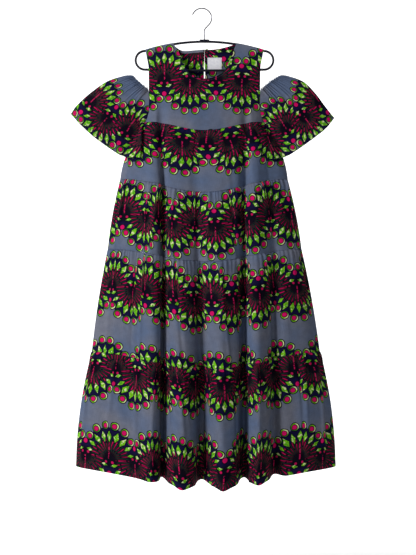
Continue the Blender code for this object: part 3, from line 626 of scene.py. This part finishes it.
# Yoke: outline of the armhole and necklines, and the hanger's bar that it lies over
yokeLook = {
    "shoulderNeckX": 95.0, "shoulderTipX": 175.5,
    "barTop": -97.4, "barEndX": 176.7, "barDrop": 27.6, "wire": 6.0,
    "armhole": ((-175.5, -121.0), (-171.0, -146.0), (-166.0, -172.0), (-165.0, -206.0), (-164.5, -243.0),
                (-163.5, -272.0), (-164.0, -300.0), (-168.0, -322.0), (-176.4, -337.6)),
    "frontNeck": ((-95.0, -101.0), (-82.0, -120.0), (-68.0, -149.0), (-56.0, -177.0), (-40.0, -197.0),
                  (-20.0, -208.0), (0.0, -211.0), (20.0, -209.0), (41.0, -201.0), (60.0, -185.0),
                  (73.0, -159.0), (85.0, -129.0), (95.0, -101.0)),
    "backNeckLeft": ((-95.0, -101.0), (-83.0, -114.0), (-64.0, -123.0), (-30.0, -121.5), (-0.8, -119.0)),
    "backNeckRight": ((95.0, -101.0), (80.0, -108.0), (50.0, -116.0), (24.0, -119.5), (0.8, -120.0)),
    "slitBottom": -250.0, "slitHalf": 0.16, "slitBelly": 1.7, "slitBellyAt": -196.0,
    "frontBand": -214, "frontFan": 34, "backBand": -106, "backFan": 57,
}
cadWall = 1.2
yokeTop = [0.953, 0.965, 0.975, 0.984, 0.989, 0.9925, 0.9952, 0.9975, 1.0]
yokeRows = np.concatenate([np.linspace(0.0, 0.94, 64), yokeTop])
neckStart = np.array([0.0, 0.0018, 0.0036, 0.008, 0.013, 0.024, 0.036])
tipColumns = 26


def barHeight(x):
    return yokeLook["barTop"] - yokeLook["barDrop"] * (np.asarray(x, float) / yokeLook["barEndX"]) ** 2


def yokeDepth(face, x, z):
    radius = yokeLook["wire"] / 2 + seamGap + cadWall / 2
    top = barHeight(x) + radius
    drop = np.maximum(top - z, 0.0)
    arc = np.sqrt(np.maximum(radius ** 2 - np.maximum(radius - drop, 0.0) ** 2, 0.0))
    t = np.clip(x / seamLines["left"][0], -1.0, 1.0)
    bottom = mix(seamLines["side"][0], seamLines["middle"][0], 0.5 + 0.5 * np.cos(math.pi * t))
    share = np.clip((top - z) / (top - bottom), 0.0, 1.0)
    depth, _ = foldsAt(face, 0.0, x)
    kept = (1.0 - np.abs(t) ** 8) * smooth((share - 0.62) / 0.38)
    full = seamLines[face][0] * lens(t)
    size = arc * (1.0 - smooth(share)) + full * smooth(share) ** 0.8 - depth * kept
    size = np.maximum(size, arc * (1.0 - share))
    return -size if face == "front" else size


# Four edges in the X and Z plane filled with a grid
def patch(left, right, bottom, top, shares):
    columns = len(bottom)
    across = np.linspace(0.0, 1.0, columns)[:, None]
    rows = []
    for k, up in enumerate(shares):
        sides = left[k] * (1 - across) + right[k] * across
        ends = bottom * (1 - up) + top * up
        low = bottom[0] * (1 - across) + bottom[-1] * across
        high = top[0] * (1 - across) + top[-1] * across
        rows.append(sides + ends - (low * (1 - up) + high * up))
    return np.array(rows)


def shoulderLine(start, end, steps):
    x = np.linspace(start, end, steps)
    return np.stack([x, barHeight(x) + yokeLook["wire"] / 2 + seamGap + cadWall / 2], 1)


def armholeLine(side, shares):
    line = smoothLine(yokeLook["armhole"][::-1], shares)
    line[-1] = (-yokeLook["shoulderTipX"], shoulderLine(-yokeLook["shoulderTipX"], 0.0, 2)[0, 1])
    return line * (-1.0 if side > 0 else 1.0, 1.0)


# Faint drag lines: from the shoulders, from the side seams and over the first seam
def yokeRelief(x, z, seed):
    luck = np.random.default_rng(seed)
    relief = np.zeros_like(x)
    for _ in range(16):
        atX, atZ = luck.uniform(-160, 160), luck.uniform(-350, -150)
        angle = luck.normal(0.0, 0.5)
        along = (x - atX) * math.sin(angle) + (z - atZ) * math.cos(angle)
        across = (x - atX) * math.cos(angle) - (z - atZ) * math.sin(angle)
        size = luck.uniform(-0.9, 1.1)
        relief += size * np.exp(-(across / luck.uniform(6, 16)) ** 2 - (along / luck.uniform(35, 80)) ** 2)
    lip = 2.2 * np.exp(-((np.abs(x + 3) - 139) / 7) ** 2) * smooth((-250 - z) / 80)
    return relief + lip


def yokeSurface(face, x, z):
    y = yokeDepth(face, x, z)
    seed = 5 if face == "front" else 8
    fade = smooth((barHeight(x) - 6 - z) / 60.0) * smooth((z - seamLines["middle"][0]) / 14.0 + 0.3)
    fade *= smooth((172 - np.abs(x)) / 12.0)
    y = y + signOf(face) * yokeRelief(x, z, seed) * fade
    return np.minimum(y, -0.12) if face == "front" else np.maximum(y, 0.12)


def yokeSheet(face, rows):
    x, z = rows[:, :, 0], rows[:, :, 1]
    y = yokeSurface(face, x, z)
    across = np.linspace(-182.0, 182.0, 183)
    step = np.hypot(np.diff(across), np.diff(yokeDepth(face, across, -290.0)))
    run = np.concatenate([[0.0], np.cumsum(step)])
    u = np.interp(x, across, run - np.interp(0.0, across, run))
    return np.stack([x, y, z], 2), u


def skirtTop(face, start, end, columns):
    points = atShares(skirtLine(face, 0.0), np.linspace(start, end, columns + 1), seamTrim)
    points[:, 2] += 0.2
    return points[:, [0, 2]]


# One part of the yoke from its four edges in the X and Z plane
def layYoke(name, face, sides, bottom, top):
    rows = patch(*sides, bottom, top, yokeRows)
    points, u = yokeSheet(face, rows)
    material = clothMaterial("print " + name, yokeLook[face + "Band"], yokeLook[face + "Fan"])
    outward = np.array([0.0, signOf(face), 0.0])
    piece = makeCloth("cloth_" + name, points, np.stack([u, rows[:, :, 1]], 2), clothWall, material, outward)
    dressPiece(piece, name)


def makeYokeFront():
    tip, neckX = yokeLook["shoulderTipX"], yokeLook["shoulderNeckX"]
    left = shoulderLine(-tip, -neckX, tipColumns + 1)
    right = shoulderLine(neckX, tip, tipColumns + 1)
    shares = np.concatenate([neckStart, np.linspace(0.045, 0.955, 105), 1.0 - neckStart[::-1]])
    neck = smoothLine([left[-1]] + list(yokeLook["frontNeck"][1:-1]) + [right[0]], shares)
    top = np.vstack([left[:-1], neck, right[1:]])
    bottom = skirtTop("front", 0.0, 1.0, len(top) - 1)
    armholes = armholeLine(-1, yokeRows), armholeLine(1, yokeRows)
    layYoke("yoke_front", "front", armholes, bottom, top)


def slitHalf(z):
    belly = np.exp(-((z - yokeLook["slitBellyAt"]) / 34.0) ** 2)
    belly *= yokeLook["slitBelly"] - yokeLook["slitHalf"]
    opened = smooth((z - yokeLook["slitBottom"]) / 30.0)
    return mix(0.06, yokeLook["slitHalf"] + belly, opened)


def makeYokeBack(side):
    name = "yoke_back_left" if side < 0 else "yoke_back_right"
    neck = yokeLook["backNeckLeft"] if side < 0 else yokeLook["backNeckRight"]
    tip = math.copysign(yokeLook["shoulderTipX"], neck[0][0])
    shoulder = shoulderLine(tip, neck[0][0], tipColumns + 1)
    shares = np.concatenate([neckStart, np.linspace(0.045, 1.0, 54)])
    top = np.vstack([shoulder[:-1], smoothLine([shoulder[-1]] + list(neck[1:]), shares)])
    bottom = skirtTop("back", 0.0 if side < 0 else 1.0, 0.5, len(top) - 1)
    height = mix(bottom[-1, 1], top[-1, 1], yokeRows)
    bottom[-1, 0] = side * slitHalf(height[0])
    centre = np.stack([side * slitHalf(height), height], 1)
    layYoke(name, "back", (armholeLine(side, yokeRows), centre), bottom, top)


# Sleeves: a flattened tube each, free and elastic above the notch, sewn below it
sleeveLooks = {
    "left": {
        "top": ((-217.0, -197.5), (-240.0, -200.0), (-290.0, -217.0), (-340.0, -252.0),
                (-379.0, -288.0), (-396.0, -313.0)),
        "hem": ((-396.0, -313.0), (-370.0, -342.0), (-331.0, -377.0), (-283.0, -412.0),
                (-236.0, -440.0), (-188.0, -446.0)),
        "under": ((-182.5, -341.0), (-187.0, -360.0), (-186.0, -398.0), (-188.0, -446.0)),
        "side": 1.0, "fanAt": 178.0, "seed": 21},
    "right": {
        "top": ((-227.0, -197.5), (-247.0, -200.0), (-293.0, -217.0), (-329.0, -252.0),
                (-356.0, -288.0), (-385.0, -325.0)),
        "hem": ((-385.0, -325.0), (-363.0, -352.0), (-325.0, -382.0), (-280.0, -414.0),
                (-236.0, -441.0), (-192.0, -450.0)),
        "under": ((-182.5, -341.0), (-187.0, -360.0), (-187.0, -398.0), (-192.0, -450.0)),
        "side": -1.0, "fanAt": 160.0, "seed": 22},
    "gathers": 15, "gatherHigh": 5.0, "gatherHalf": 0.0145, "scrunch": 0.4, "ruffle": 3.2, "backShare": 0.7,
    "freeColumns": 90, "sewnColumns": 46, "rows": 58, "bandAt": 68.0, "hemCut": 262.0, "topCut": 225.0,
    "hemFrom": 0.93, "hemWall": 1.3, "stitchRow": 10.0, "elasticMiddle": (-194.0, -219.0), "notchGap": 1.4,
}


# Front of the skirt as a table, for what lies on it
def skirtTable():
    levels = np.linspace(0.0, 1.3, 70)
    across = np.linspace(-262.0, 262.0, 263)
    height, depth, edge = [], [], []
    for level in levels:
        line = skirtLine("front", level, 241, lips=False)
        order = np.argsort(line[:, 0])
        height.append(np.interp(across, line[order, 0], line[order, 2]))
        depth.append(np.interp(across, line[order, 0], line[order, 1]))
        edge.append(line[0, 0])
    return across, np.array(height), np.array(depth), np.array(edge)


skirtFront = skirtTable()


def layOverSkirt(x, z, y, clear):
    across, height, depth, edge = skirtFront
    levels = np.arange(len(edge))
    for k in range(len(x)):
        column = np.clip((x[k] - across[0]) / (across[1] - across[0]), 0, len(across) - 1.001)
        low, part = int(column), column - int(column)
        z0 = mix(height[:, low], height[:, low + 1], part)
        level = np.interp(-z[k], -z0, levels)
        left = np.interp(level, levels, edge)
        inside = left < x[k]
        y0 = np.interp(level, levels, mix(depth[:, low], depth[:, low + 1], part)) if inside else 0.0
        near = smooth(1.0 + (x[k] - left) / 30.0) * smooth((seamLines["side"][0] - z[k]) / 10.0)
        y[k] = mix(y[k], min(y[k], y0 - clear), near)


def sleeveGrid(table):
    look = sleeveLooks
    luck = np.random.default_rng(table["seed"])
    free = np.linspace(0.0, 1.0, look["freeColumns"] + 1)
    sewn = np.linspace(0.0, 1.0, look["sewnColumns"] + 1)[1:]
    armhole = yokeLook["armhole"]
    seam = smoothLine(armhole[4:], sewn)
    along = np.gradient(seam, axis=0)
    along /= np.linalg.norm(along, axis=1)[:, None]
    clear = mix(0.9, 1.8, smooth((sewn - 0.5) / 0.5))
    beside = seam + np.stack([along[:, 1], -along[:, 0]], 1) * clear[:, None]
    beside[-1] = table["under"][0]
    notch = np.array(armhole[4]) - (look["notchGap"], 0.0)
    elastic = smoothLine((table["top"][0], look["elasticMiddle"], notch), free)
    inner = np.vstack([elastic, beside])
    edge = np.vstack([elastic + (look["notchGap"], 0.0), seam])
    around = len(inner)
    outs = np.concatenate([[0.0, 0.006, 0.012], np.linspace(0.02, 0.985, look["rows"] - 5), [0.993, 1.0]])
    hem = smoothLine(table["hem"], np.linspace(0, 1, around))
    rows = patch(smoothLine(table["top"], outs), smoothLine(table["under"], outs), inner, hem, outs)
    share = np.linspace(0.0, 1.0, around)
    atNotch = look["freeColumns"]
    isFree = np.arange(around) <= atNotch
    places, sizes, lengths, drifts = [], [], [], []
    place = 0.02
    while place < share[atNotch] - 0.01:
        places.append(place)
        sizes.append(luck.uniform(0.6, 1.3))
        lengths.append(luck.uniform(0.16, 0.5))
        drifts.append(luck.normal(0.0, 0.03))
        place += share[atNotch] / look["gathers"] * luck.uniform(0.7, 1.3)
    # each gather pushes a little ruffle past the elastic
    bumps = [size * np.exp(-((share - place) / 0.010) ** 2) for place, size in zip(places, sizes)]
    ruffle = sum(bumps) * isFree
    ruffle *= smooth(share / 0.06) * smooth((share[atNotch] - share) / 0.04) * look["ruffle"]
    frontGrid, backGrid = [], []
    for k, out in enumerate(outs):
        x, z = (rows[k] + np.outer(ruffle * math.exp(-out / 0.03), (0.67, 0.74))).T
        front = -yokeDepth("front", edge[:, 0], edge[:, 1])
        back = yokeDepth("back", edge[:, 0], edge[:, 1])
        rise = np.sqrt(np.clip(share / share[atNotch], 0.0, 1.0))
        front = np.where(isFree, front[atNotch] * rise, front)
        back = np.where(isFree, back[atNotch] * rise, back)
        front[-1], back[-1] = 3.2, -3.2
        full = mix(15.0, 21.0, out) * (4 * share * (1 - share)) ** 0.6
        wave = np.zeros(around)
        for place, size, length, drift in zip(places, sizes, lengths, drifts):
            fade = math.exp(-(out / length) ** 1.5)
            wave += size * fade * np.exp(-((share - place - drift * out) / look["gatherHalf"]) ** 2)
        wave *= look["gatherHigh"] * np.sqrt(rise) * (1.0 + look["scrunch"] * math.exp(-(out / 0.08) ** 2))
        # the elastic sits in a casing near the edge and pulls it narrow
        casing = 1.3 * math.exp(-((out - 0.045) / 0.012) ** 2) * isFree
        opened, kept = smooth(out * 1.6), smooth((1 - share) * 8)
        front = mix(front, full, opened) + (wave - casing * rise) * kept
        back = mix(back, full, opened) + (look["backShare"] * wave - casing * rise) * kept
        hang = 2.2 * np.sin(share * 9.0 + 1.0) * smooth((out - 0.25) / 0.6)
        hang *= (4 * share * (1 - share)) ** 0.5
        yFront, yBack = -(front + hang), back - 0.5 * hang
        wrap = smooth((share - 0.72) / 0.2) * smooth((1.0 - share) / 0.05) * 9.0 * smooth(out / 0.12)
        xBack = x - wrap * (1.0 - smooth((out - 0.2) / 0.7))
        xFront = x - wrap * (1.0 - smooth((out - 0.15) / 0.5))
        if out > 0:
            layOverSkirt(xBack, z, yBack, 4.4)
            layOverSkirt(xFront, z, yFront, 10.4)
            yFront = np.minimum(yFront, yBack - 6.0)
        yFront[0] = yBack[0] = (yFront[0] + yBack[0]) / 2
        yFront[-1] = yBack[-1] = (yFront[-1] + yBack[-1]) / 2
        frontGrid.append(np.stack([xFront, yFront, z], 1))
        backGrid.append(np.stack([xBack, yBack, z], 1))
    frontGrid, backGrid = np.array(frontGrid), np.array(backGrid)
    grid = np.concatenate([frontGrid[:, ::-1], backGrid[:, 1:]], 1)
    step = np.linalg.norm(np.diff(frontGrid, axis=0), axis=2)
    length = np.vstack([np.zeros(around), np.cumsum(step, axis=0)])
    v = length[-1] - length
    u = share[None, :] * mix(look["topCut"], look["hemCut"], outs)[:, None]
    sheet = np.concatenate([np.stack([u[:, ::-1], v[:, ::-1]], 2), np.stack([-u[:, 1:], v[:, 1:]], 2)], 1)
    return grid, sheet, outs


def makeSleeve(name):
    look = sleeveLooks
    table = look[name]
    grid, sheet, outs = sleeveGrid(table)
    grid = grid * (table["side"], 1.0, 1.0)
    outward = grid - grid.mean(axis=(0, 1))
    thick = np.where(outs > look["hemFrom"], look["hemWall"], clothWall)[:, None]
    stitchRows = (look["stitchRow"],)
    material = clothMaterial("print sleeve_" + name, look["bandAt"], table["fanAt"], stitchRows)
    piece = makeCloth("cloth_sleeve_" + name, grid, sheet, thick, material, outward)
    dressPiece(piece, "sleeve_" + name)


# Hanger: coated wire with a bright hook and the small saddle that joins them
hangerLook = {"loopRadius": 27.7, "sag": 2.6, "coatedWire": 6.9, "hookWire": 3.5, "hookRadius": 29.0,
              "coat": (0.005, 0.005, 0.014), "steel": (0.24, 0.24, 0.27)}


def makeWire(name, points, width, material, closed=False):
    curve = bpy.data.curves.new(name, "CURVE")
    curve.dimensions = "3D"
    curve.bevel_depth = width / 2 * mm
    curve.bevel_resolution = 5
    curve.use_fill_caps = not closed
    spline = curve.splines.new("POLY")
    spline.points.add(len(points) - 1)
    for place, point in zip(spline.points, points):
        place.co = (*[value * mm for value in point], 1.0)
    spline.use_cyclic_u = closed
    curve.materials.append(material)
    return addObject(name, curve)


def coatedWireMaterial():
    material, pen = newMaterial("coated wire")
    place = pen.objectPlace()
    rub, _ = pen.noise(place, 60.0, 4.0, "3D")
    fine, _ = pen.noise(place, 900.0, 2.0, "3D")
    colour = pen.blend(pen.spread(rub, 0.58, 0.72), hangerLook["coat"], (0.03, 0.03, 0.036))
    pen.shade({"Base Color": colour, "Roughness": pen.spread(rub, 0.3, 0.7, 0.30, 0.46),
               "Normal": pen.bump(fine, 0.12, 0.0003), "Specular IOR Level": 0.3})
    return material


def steelMaterial():
    material, pen = newMaterial("bright steel")
    drawn, _ = pen.noise(pen.objectPlace(), 240.0, 3.0, "3D")
    colour = pen.blend(pen.spread(drawn, 0.4, 0.7), hangerLook["steel"], (0.12, 0.12, 0.14))
    pen.shade({"Base Color": colour, "Roughness": pen.spread(drawn, 0.3, 0.7, 0.18, 0.34),
               "Normal": pen.bump(drawn, 0.08, 0.0002), "Metallic": 1.0})
    return material


def makeHanger():
    endX, loop = yokeLook["barEndX"], hangerLook["loopRadius"]
    top = [(x + stemX, 0.0, float(barHeight(x))) for x in np.linspace(-endX, endX, 81)]
    centreZ = float(barHeight(endX)) - loop
    turns = np.linspace(math.pi / 2, -math.pi / 2, 33)[1:]
    right = [(endX + loop * math.cos(a) + stemX, 0.0, centreZ + loop * math.sin(a)) for a in turns]
    under = [(x + stemX, 0.0, centreZ - loop - hangerLook["sag"] * (1 - (x / endX) ** 2))
             for x in np.linspace(endX, -endX, 25)[1:-1]]
    left = [(2 * stemX - x, y, z) for x, y, z in right[::-1]]
    coated = coatedWireMaterial()
    outline = top + right + under + left
    body = makeWire("wire_hanger_body", outline, hangerLook["coatedWire"], coated, closed=True)
    dressPiece(body, "hanger_body")

    radius = hangerLook["hookRadius"]
    centre = hangerLook["hookWire"] / 2 - radius
    turns = np.radians(np.linspace(160, -44, 61))
    arc = [(radius * math.cos(a), 0.0, centre + radius * math.sin(a)) for a in turns]
    start, end = np.array(arc[-1]), np.array([stemX, 0.0, -78.0])
    first = start + 22.0 * np.array([math.sin(turns[-1]), 0.0, -math.cos(turns[-1])])
    second = end + (0.0, 0.0, 20.0)
    bend = [tuple((1 - t) ** 3 * start + 3 * (1 - t) ** 2 * t * first
                  + 3 * (1 - t) * t ** 2 * second + t ** 3 * end)
            for t in np.linspace(0, 1, 21)[1:]]
    steel = steelMaterial()
    hook = makeWire("wire_hanger_hook", arc + bend + [(stemX, 0.0, -91.6)], hangerLook["hookWire"], steel)
    dressPiece(hook, "hanger_hook")
    for slot in bpy.data.objects["hanger_saddle"].material_slots:
        slot.material = coated


# Trim inside the back neck: a strip of plain cloth and a bare woven label
trimLook = {"facingX": (-72.0, -3.5), "facingHigh": 7.0, "labelX": (9.0, 51.0), "labelZ": (-181.0, -143.0),
            "cadWall": 0.8, "wall": 0.6}


def plainClothMaterial():
    material, pen = newMaterial("plain slate cloth")
    grain = pen.grain(*pen.clothMap())
    colour = pen.blend(pen.spread(grain, 0.8, 1.2), (0.17, 0.19, 0.25), (0.11, 0.125, 0.17))
    pen.shade({"Base Color": colour, "Normal": pen.bump(grain, 0.3, 0.0002), "Roughness": 0.82})
    return material


def labelMaterial():
    material, pen = newMaterial("bare woven label")
    u, v = pen.clothMap()
    rib = pen.maths("SINE", pen.times(v, 2 * math.pi / 0.8))
    cloud, _ = pen.noise(pen.vector(u, v), 0.12, 3.0)
    colour = pen.blend(pen.spread(cloud, 0.35, 0.7), (0.92, 0.92, 0.96), (0.80, 0.80, 0.86))
    # a turned edge and one line of stitches inside it
    inset = pen.maths("MAXIMUM", pen.less(pen.size(u), 21.0), pen.less(pen.size(v), 19.0))
    stitchLine = pen.under(pen.size(pen.add(inset, 1.8)), 0.35, 0.15)
    dash = pen.dashes(pen.times(pen.add(u, v), 1 / 2.6), 0.32, 0.05)
    colour = pen.blend(pen.times(stitchLine, dash), colour, (0.30, 0.30, 0.36))
    pen.shade({"Base Color": colour,
               "Normal": pen.bump(pen.add(rib, pen.times(stitchLine, -2.0)), 0.3, 0.0002),
               "Roughness": 0.5, "Sheen Weight": 0.2})
    return material


def makeTrim():
    inset = cadWall / 2 + seamGap + trimLook["cadWall"] / 2 - 0.35
    inward = np.array([0.0, -1.0, 0.0])
    neck = smoothLine(yokeLook["backNeckLeft"][1:], np.linspace(0, 1, 80))
    across = np.linspace(*trimLook["facingX"], 60)
    edge = np.interp(across, neck[:, 0], neck[:, 1]) - 0.5
    drops = trimLook["facingHigh"] * np.linspace(1.0, 0.0, 9)
    rows = np.array([np.stack([across, edge - drop], 1) for drop in drops])
    x, z = rows[:, :, 0], rows[:, :, 1]
    grid = np.stack([x, yokeDepth("back", x, z) - inset, z], 2)
    facing = makeCloth("cloth_neck_facing", grid, rows, trimLook["wall"], plainClothMaterial(), inward)
    dressPiece(facing, "neck_facing")

    x0, x1 = trimLook["labelX"]
    z0, z1 = trimLook["labelZ"]
    x, z = np.meshgrid(np.linspace(x0, x1, 36), np.linspace(z0, z1, 32))
    bow = 0.35 * np.sin((x - x0) / (x1 - x0) * math.pi) * np.sin((z - z0) / (z1 - z0) * math.pi)
    grid = np.stack([x, yokeDepth("back", x, z) - inset - bow, z], 2)
    cloth = np.stack([x - (x0 + x1) / 2, z - (z0 + z1) / 2], 2)
    label = makeCloth("cloth_neck_label", grid, cloth, trimLook["wall"], labelMaterial(), inward)
    dressPiece(label, "neck_label")


# Button and loop at the top of the slit
buttonLook = {"x": 6.6, "z": -121.5, "radius": 5.2, "thick": 2.4, "shankRadius": 1.5, "shankLength": 2.4,
              "loopWire": 1.0, "colour": (0.44, 0.56, 0.26), "colourDeep": (0.28, 0.42, 0.14)}


def makeButton():
    look = buttonLook
    base = float(yokeDepth("back", np.array(look["x"]), np.array(look["z"]))) + cadWall / 2 + seamGap
    radius, shank, thick = look["radius"], look["shankLength"], look["thick"]
    # radius and height of each ring, from the shank to the rim and the dished top
    rim = ((0.80, 0.0), (0.93, 0.25), (1.0, 0.8), (0.985, 1.3))
    dish = ((0.90, 0.82), (0.80, 0.86), (0.66, 0.72), (0.40, 0.80), (0.18, 0.95), (0.0, 1.0))
    profile = [(look["shankRadius"], -0.2), (look["shankRadius"], shank)]
    profile += [(radius * share, shank + rise) for share, rise in rim]
    profile += [(radius * share, shank + thick * rise) for share, rise in dish]
    sides = 48
    vertices, faces = [], []
    for r, h in profile[:-1]:
        for k in range(sides):
            a = 2 * math.pi * k / sides
            x, z = look["x"] + r * math.cos(a), look["z"] + r * math.sin(a)
            vertices.append(((x + stemX) * mm, (base + h) * mm, z * mm))
    vertices.append(((look["x"] + stemX) * mm, (base + profile[-1][1]) * mm, look["z"] * mm))
    for ring in range(len(profile) - 2):
        for k in range(sides):
            j = (k + 1) % sides
            low, high = ring * sides, (ring + 1) * sides
            faces.append((low + k, high + k, high + j, low + j))
    last = (len(profile) - 2) * sides
    faces += [(last + k, len(vertices) - 1, last + (k + 1) % sides) for k in range(sides)]
    faces.append(tuple(range(sides)))
    material, pen = newMaterial("pearly green button")
    swirl, _ = pen.noise(pen.objectPlace(), 260.0, 3.0, "3D")
    colour = pen.blend(pen.spread(swirl, 0.35, 0.65), look["colour"], look["colourDeep"])
    pen.shade({"Base Color": colour, "Roughness": pen.spread(swirl, 0.3, 0.7, 0.2, 0.34),
               "Coat Weight": 0.5})
    button = addMesh("pearl_button", vertices, faces, material)
    button.data.shade_smooth()
    dressPiece(button, "button")

    ring = look["shankRadius"] + look["loopWire"] / 2 + 0.4
    y = base + look["shankLength"] / 2
    turns = np.radians(np.linspace(120, -120, 41))
    bow = [(look["x"] + stemX + ring * math.cos(a), y, look["z"] + ring * math.sin(a)) for a in turns]
    ends = [(-4.5 + stemX, y, look["z"] + 1.1)], [(-4.5 + stemX, y, look["z"] - 1.1)]
    thread, pen = newMaterial("twisted thread")
    x, _, z = pen.split(pen.objectPlace())
    twist = pen.maths("SINE", pen.times(pen.add(x, pen.times(z, 0.8)), 2 * math.pi / 0.0009))
    colour = pen.blend(pen.spread(twist, -1.0, 1.0), (0.012, 0.012, 0.045), (0.05, 0.05, 0.11))
    pen.shade({"Base Color": colour, "Normal": pen.bump(twist, 0.5, 0.0003), "Roughness": 0.7})
    loop = makeWire("thread_button_loop", ends[0] + bow + ends[1], look["loopWire"], thread)
    dressPiece(loop, "button_loop")


# Rows of stitches beside the neck and armholes, on the outside of the yoke
stitchLook = {"from": 5.0, "step": 3.4, "long": 2.3, "half": 0.28, "colour": (0.014, 0.014, 0.045)}


def makeStitches():
    look = stitchLook
    shares = np.linspace(0.0, 1.0, 400)
    leftArm = smoothLine(yokeLook["armhole"], shares[8:-6])
    edges = [("front", smoothLine(yokeLook["frontNeck"], shares[14:-14]), (0.0, -120.0))]
    for name in ("backNeckLeft", "backNeckRight"):
        edges.append(("back", smoothLine(yokeLook[name], shares[14:-10]), (0.0, -90.0)))
    for face in ("front", "back"):
        edges += [(face, leftArm * (side, 1.0), (side * 600.0, -230.0)) for side in (1.0, -1.0)]
    vertices, faces = [], []
    for face, edge, away in edges:
        flow = np.gradient(edge, axis=0)
        flow /= np.linalg.norm(flow, axis=1)[:, None]
        normal = np.stack([flow[:, 1], -flow[:, 0]], 1)
        normal *= np.sign(np.sum(normal * (edge - away), axis=1))[:, None]
        line = edge + normal * look["from"]
        length = np.sum(np.linalg.norm(np.diff(line, axis=0), axis=1))
        count = int(length / look["step"])
        starts = atShares(line, (np.arange(count) + 0.15) / count)
        ends = atShares(line, (np.arange(count) + 0.15 + look["long"] / look["step"]) / count)
        for start, end in zip(starts, ends):
            aside = np.array([start[1] - end[1], end[0] - start[0]])
            aside *= look["half"] / (np.linalg.norm(aside) + 1e-9)
            first = len(vertices)
            for x, z in (start - aside, start + aside, end + aside, end - aside):
                y = float(yokeSurface(face, np.array([x]), np.array([z]))[0])
                for lift in (0.30, 0.62):
                    vertices.append(((x + stemX) * mm, (y + signOf(face) * lift) * mm, z * mm))
            for k in range(4):
                j = (k + 1) % 4
                faces.append((first + 2 * k, first + 2 * j, first + 2 * j + 1, first + 2 * k + 1))
            faces.append((first + 1, first + 3, first + 5, first + 7))
            faces.append((first + 6, first + 4, first + 2, first))
    material, pen = newMaterial("stitching thread")
    fuzz, _ = pen.noise(pen.objectPlace(), 1500.0, 2.0, "3D")
    pen.shade({"Base Color": pen.blend(pen.spread(fuzz, 0.3, 0.7), look["colour"], (0.05, 0.05, 0.10)),
               "Roughness": 0.75})
    stitches = addMesh("edge_stitches", vertices, faces, material)
    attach(stitches, "root")


makeHanger()
print("hanger made")
makeYokeFront()
makeYokeBack(-1)
makeYokeBack(1)
print("yoke made")
makeTiers()
print("tiers made")
makeSleeve("left")
makeSleeve("right")
print("sleeves made")
makeTrim()
makeStitches()
makeButton()
print("trim made")


# Studio: a pale floor that sweeps up behind, broad soft lights, level camera
studioLook = {"floorZ": -1.72, "frontY": -6.0, "wallY": 6.0, "wallTop": 5.0, "halfWide": 7.0, "bend": 1.2,
              "key": 98, "fill": 6, "top": 8, "world": 0.15, "backdrop": 0.84,
              "white": 0.80, "glowFront": 0.05, "glowBack": 0.95,
              "away": 2.5, "cameraX": 0.0184, "cameraZ": -0.7977, "halfHigh": 0.8242}


def makeStudio():
    look = studioLook
    bend = look["bend"]
    profile = [(look["frontY"], look["floorZ"])]
    for a in np.linspace(0, 1, 17) * math.pi / 2:
        y = look["wallY"] - bend + bend * math.sin(a)
        profile.append((y, look["floorZ"] + bend - bend * math.cos(a)))
    profile.append((look["wallY"], look["wallTop"]))
    vertices = [(x, y, z) for y, z in profile for x in (-look["halfWide"], look["halfWide"])]
    faces = [(2 * k, 2 * k + 1, 2 * k + 3, 2 * k + 2) for k in range(len(profile) - 1)]
    material, pen = newMaterial("pale sweep")
    _, y, _ = pen.split(pen.objectPlace())
    glow = pen.spread(y, -0.1, 0.55, look["glowFront"], look["glowBack"])
    pen.shade({"Base Color": (look["white"], look["white"], look["white"], 1.0), "Roughness": 0.9,
               "Emission Color": (1.0, 1.0, 1.0, 1.0), "Emission Strength": glow})
    sweep = addMesh("studio_sweep", vertices, faces, material)
    sweep.data.shade_smooth()

    def softLight(name, place, aim, size, power):
        lamp = bpy.data.lights.new(name, "AREA")
        lamp.shape = "RECTANGLE"
        lamp.size, lamp.size_y = size
        lamp.energy = power
        light = addObject(name, lamp)
        light.location = place
        heading = np.array(aim) - np.array(place)
        light.rotation_mode = "QUATERNION"
        light.rotation_quaternion = Vector(heading).to_track_quat("-Z", "Y")

    softLight("key", (-2.7, -1.95, 0.4), (0.0, 0.0, -0.8), (0.9, 1.5), look["key"])
    softLight("fill", (2.2, -2.4, -0.4), (0.0, 0.0, -0.8), (1.8, 2.4), look["fill"])
    softLight("top", (0.0, -0.4, 1.6), (0.0, 0.0, -0.8), (2.4, 1.6), look["top"])
    world = bpy.data.worlds.new("studio")
    world.use_nodes = True
    nodes, links = world.node_tree.nodes, world.node_tree.links
    dim = nodes["Background"]
    dim.inputs["Color"].default_value = (1.0, 1.0, 1.0, 1.0)
    dim.inputs["Strength"].default_value = look["world"]
    # the air round the sweep looks pale too, but lights the cloth only a little
    pale = nodes.new("ShaderNodeBackground")
    pale.inputs["Strength"].default_value = look["backdrop"]
    either = nodes.new("ShaderNodeMixShader")
    links.new(nodes.new("ShaderNodeLightPath").outputs["Is Camera Ray"], either.inputs[0])
    links.new(dim.outputs[0], either.inputs[1])
    links.new(pale.outputs[0], either.inputs[2])
    links.new(either.outputs[0], nodes["World Output"].inputs["Surface"])
    bpy.context.scene.world = world

    data = bpy.data.cameras.new("camera")
    data.sensor_width = 36.0
    data.lens = data.sensor_width / 2 * look["away"] / look["halfHigh"]
    camera = addObject("camera", data)
    camera.location = (look["cameraX"], -look["away"], look["cameraZ"])
    camera.rotation_euler = (math.pi / 2, 0.0, 0.0)
    bpy.context.scene.camera = camera
    bpy.context.scene.view_settings.view_transform = "Standard"


makeStudio()
print("studio made")
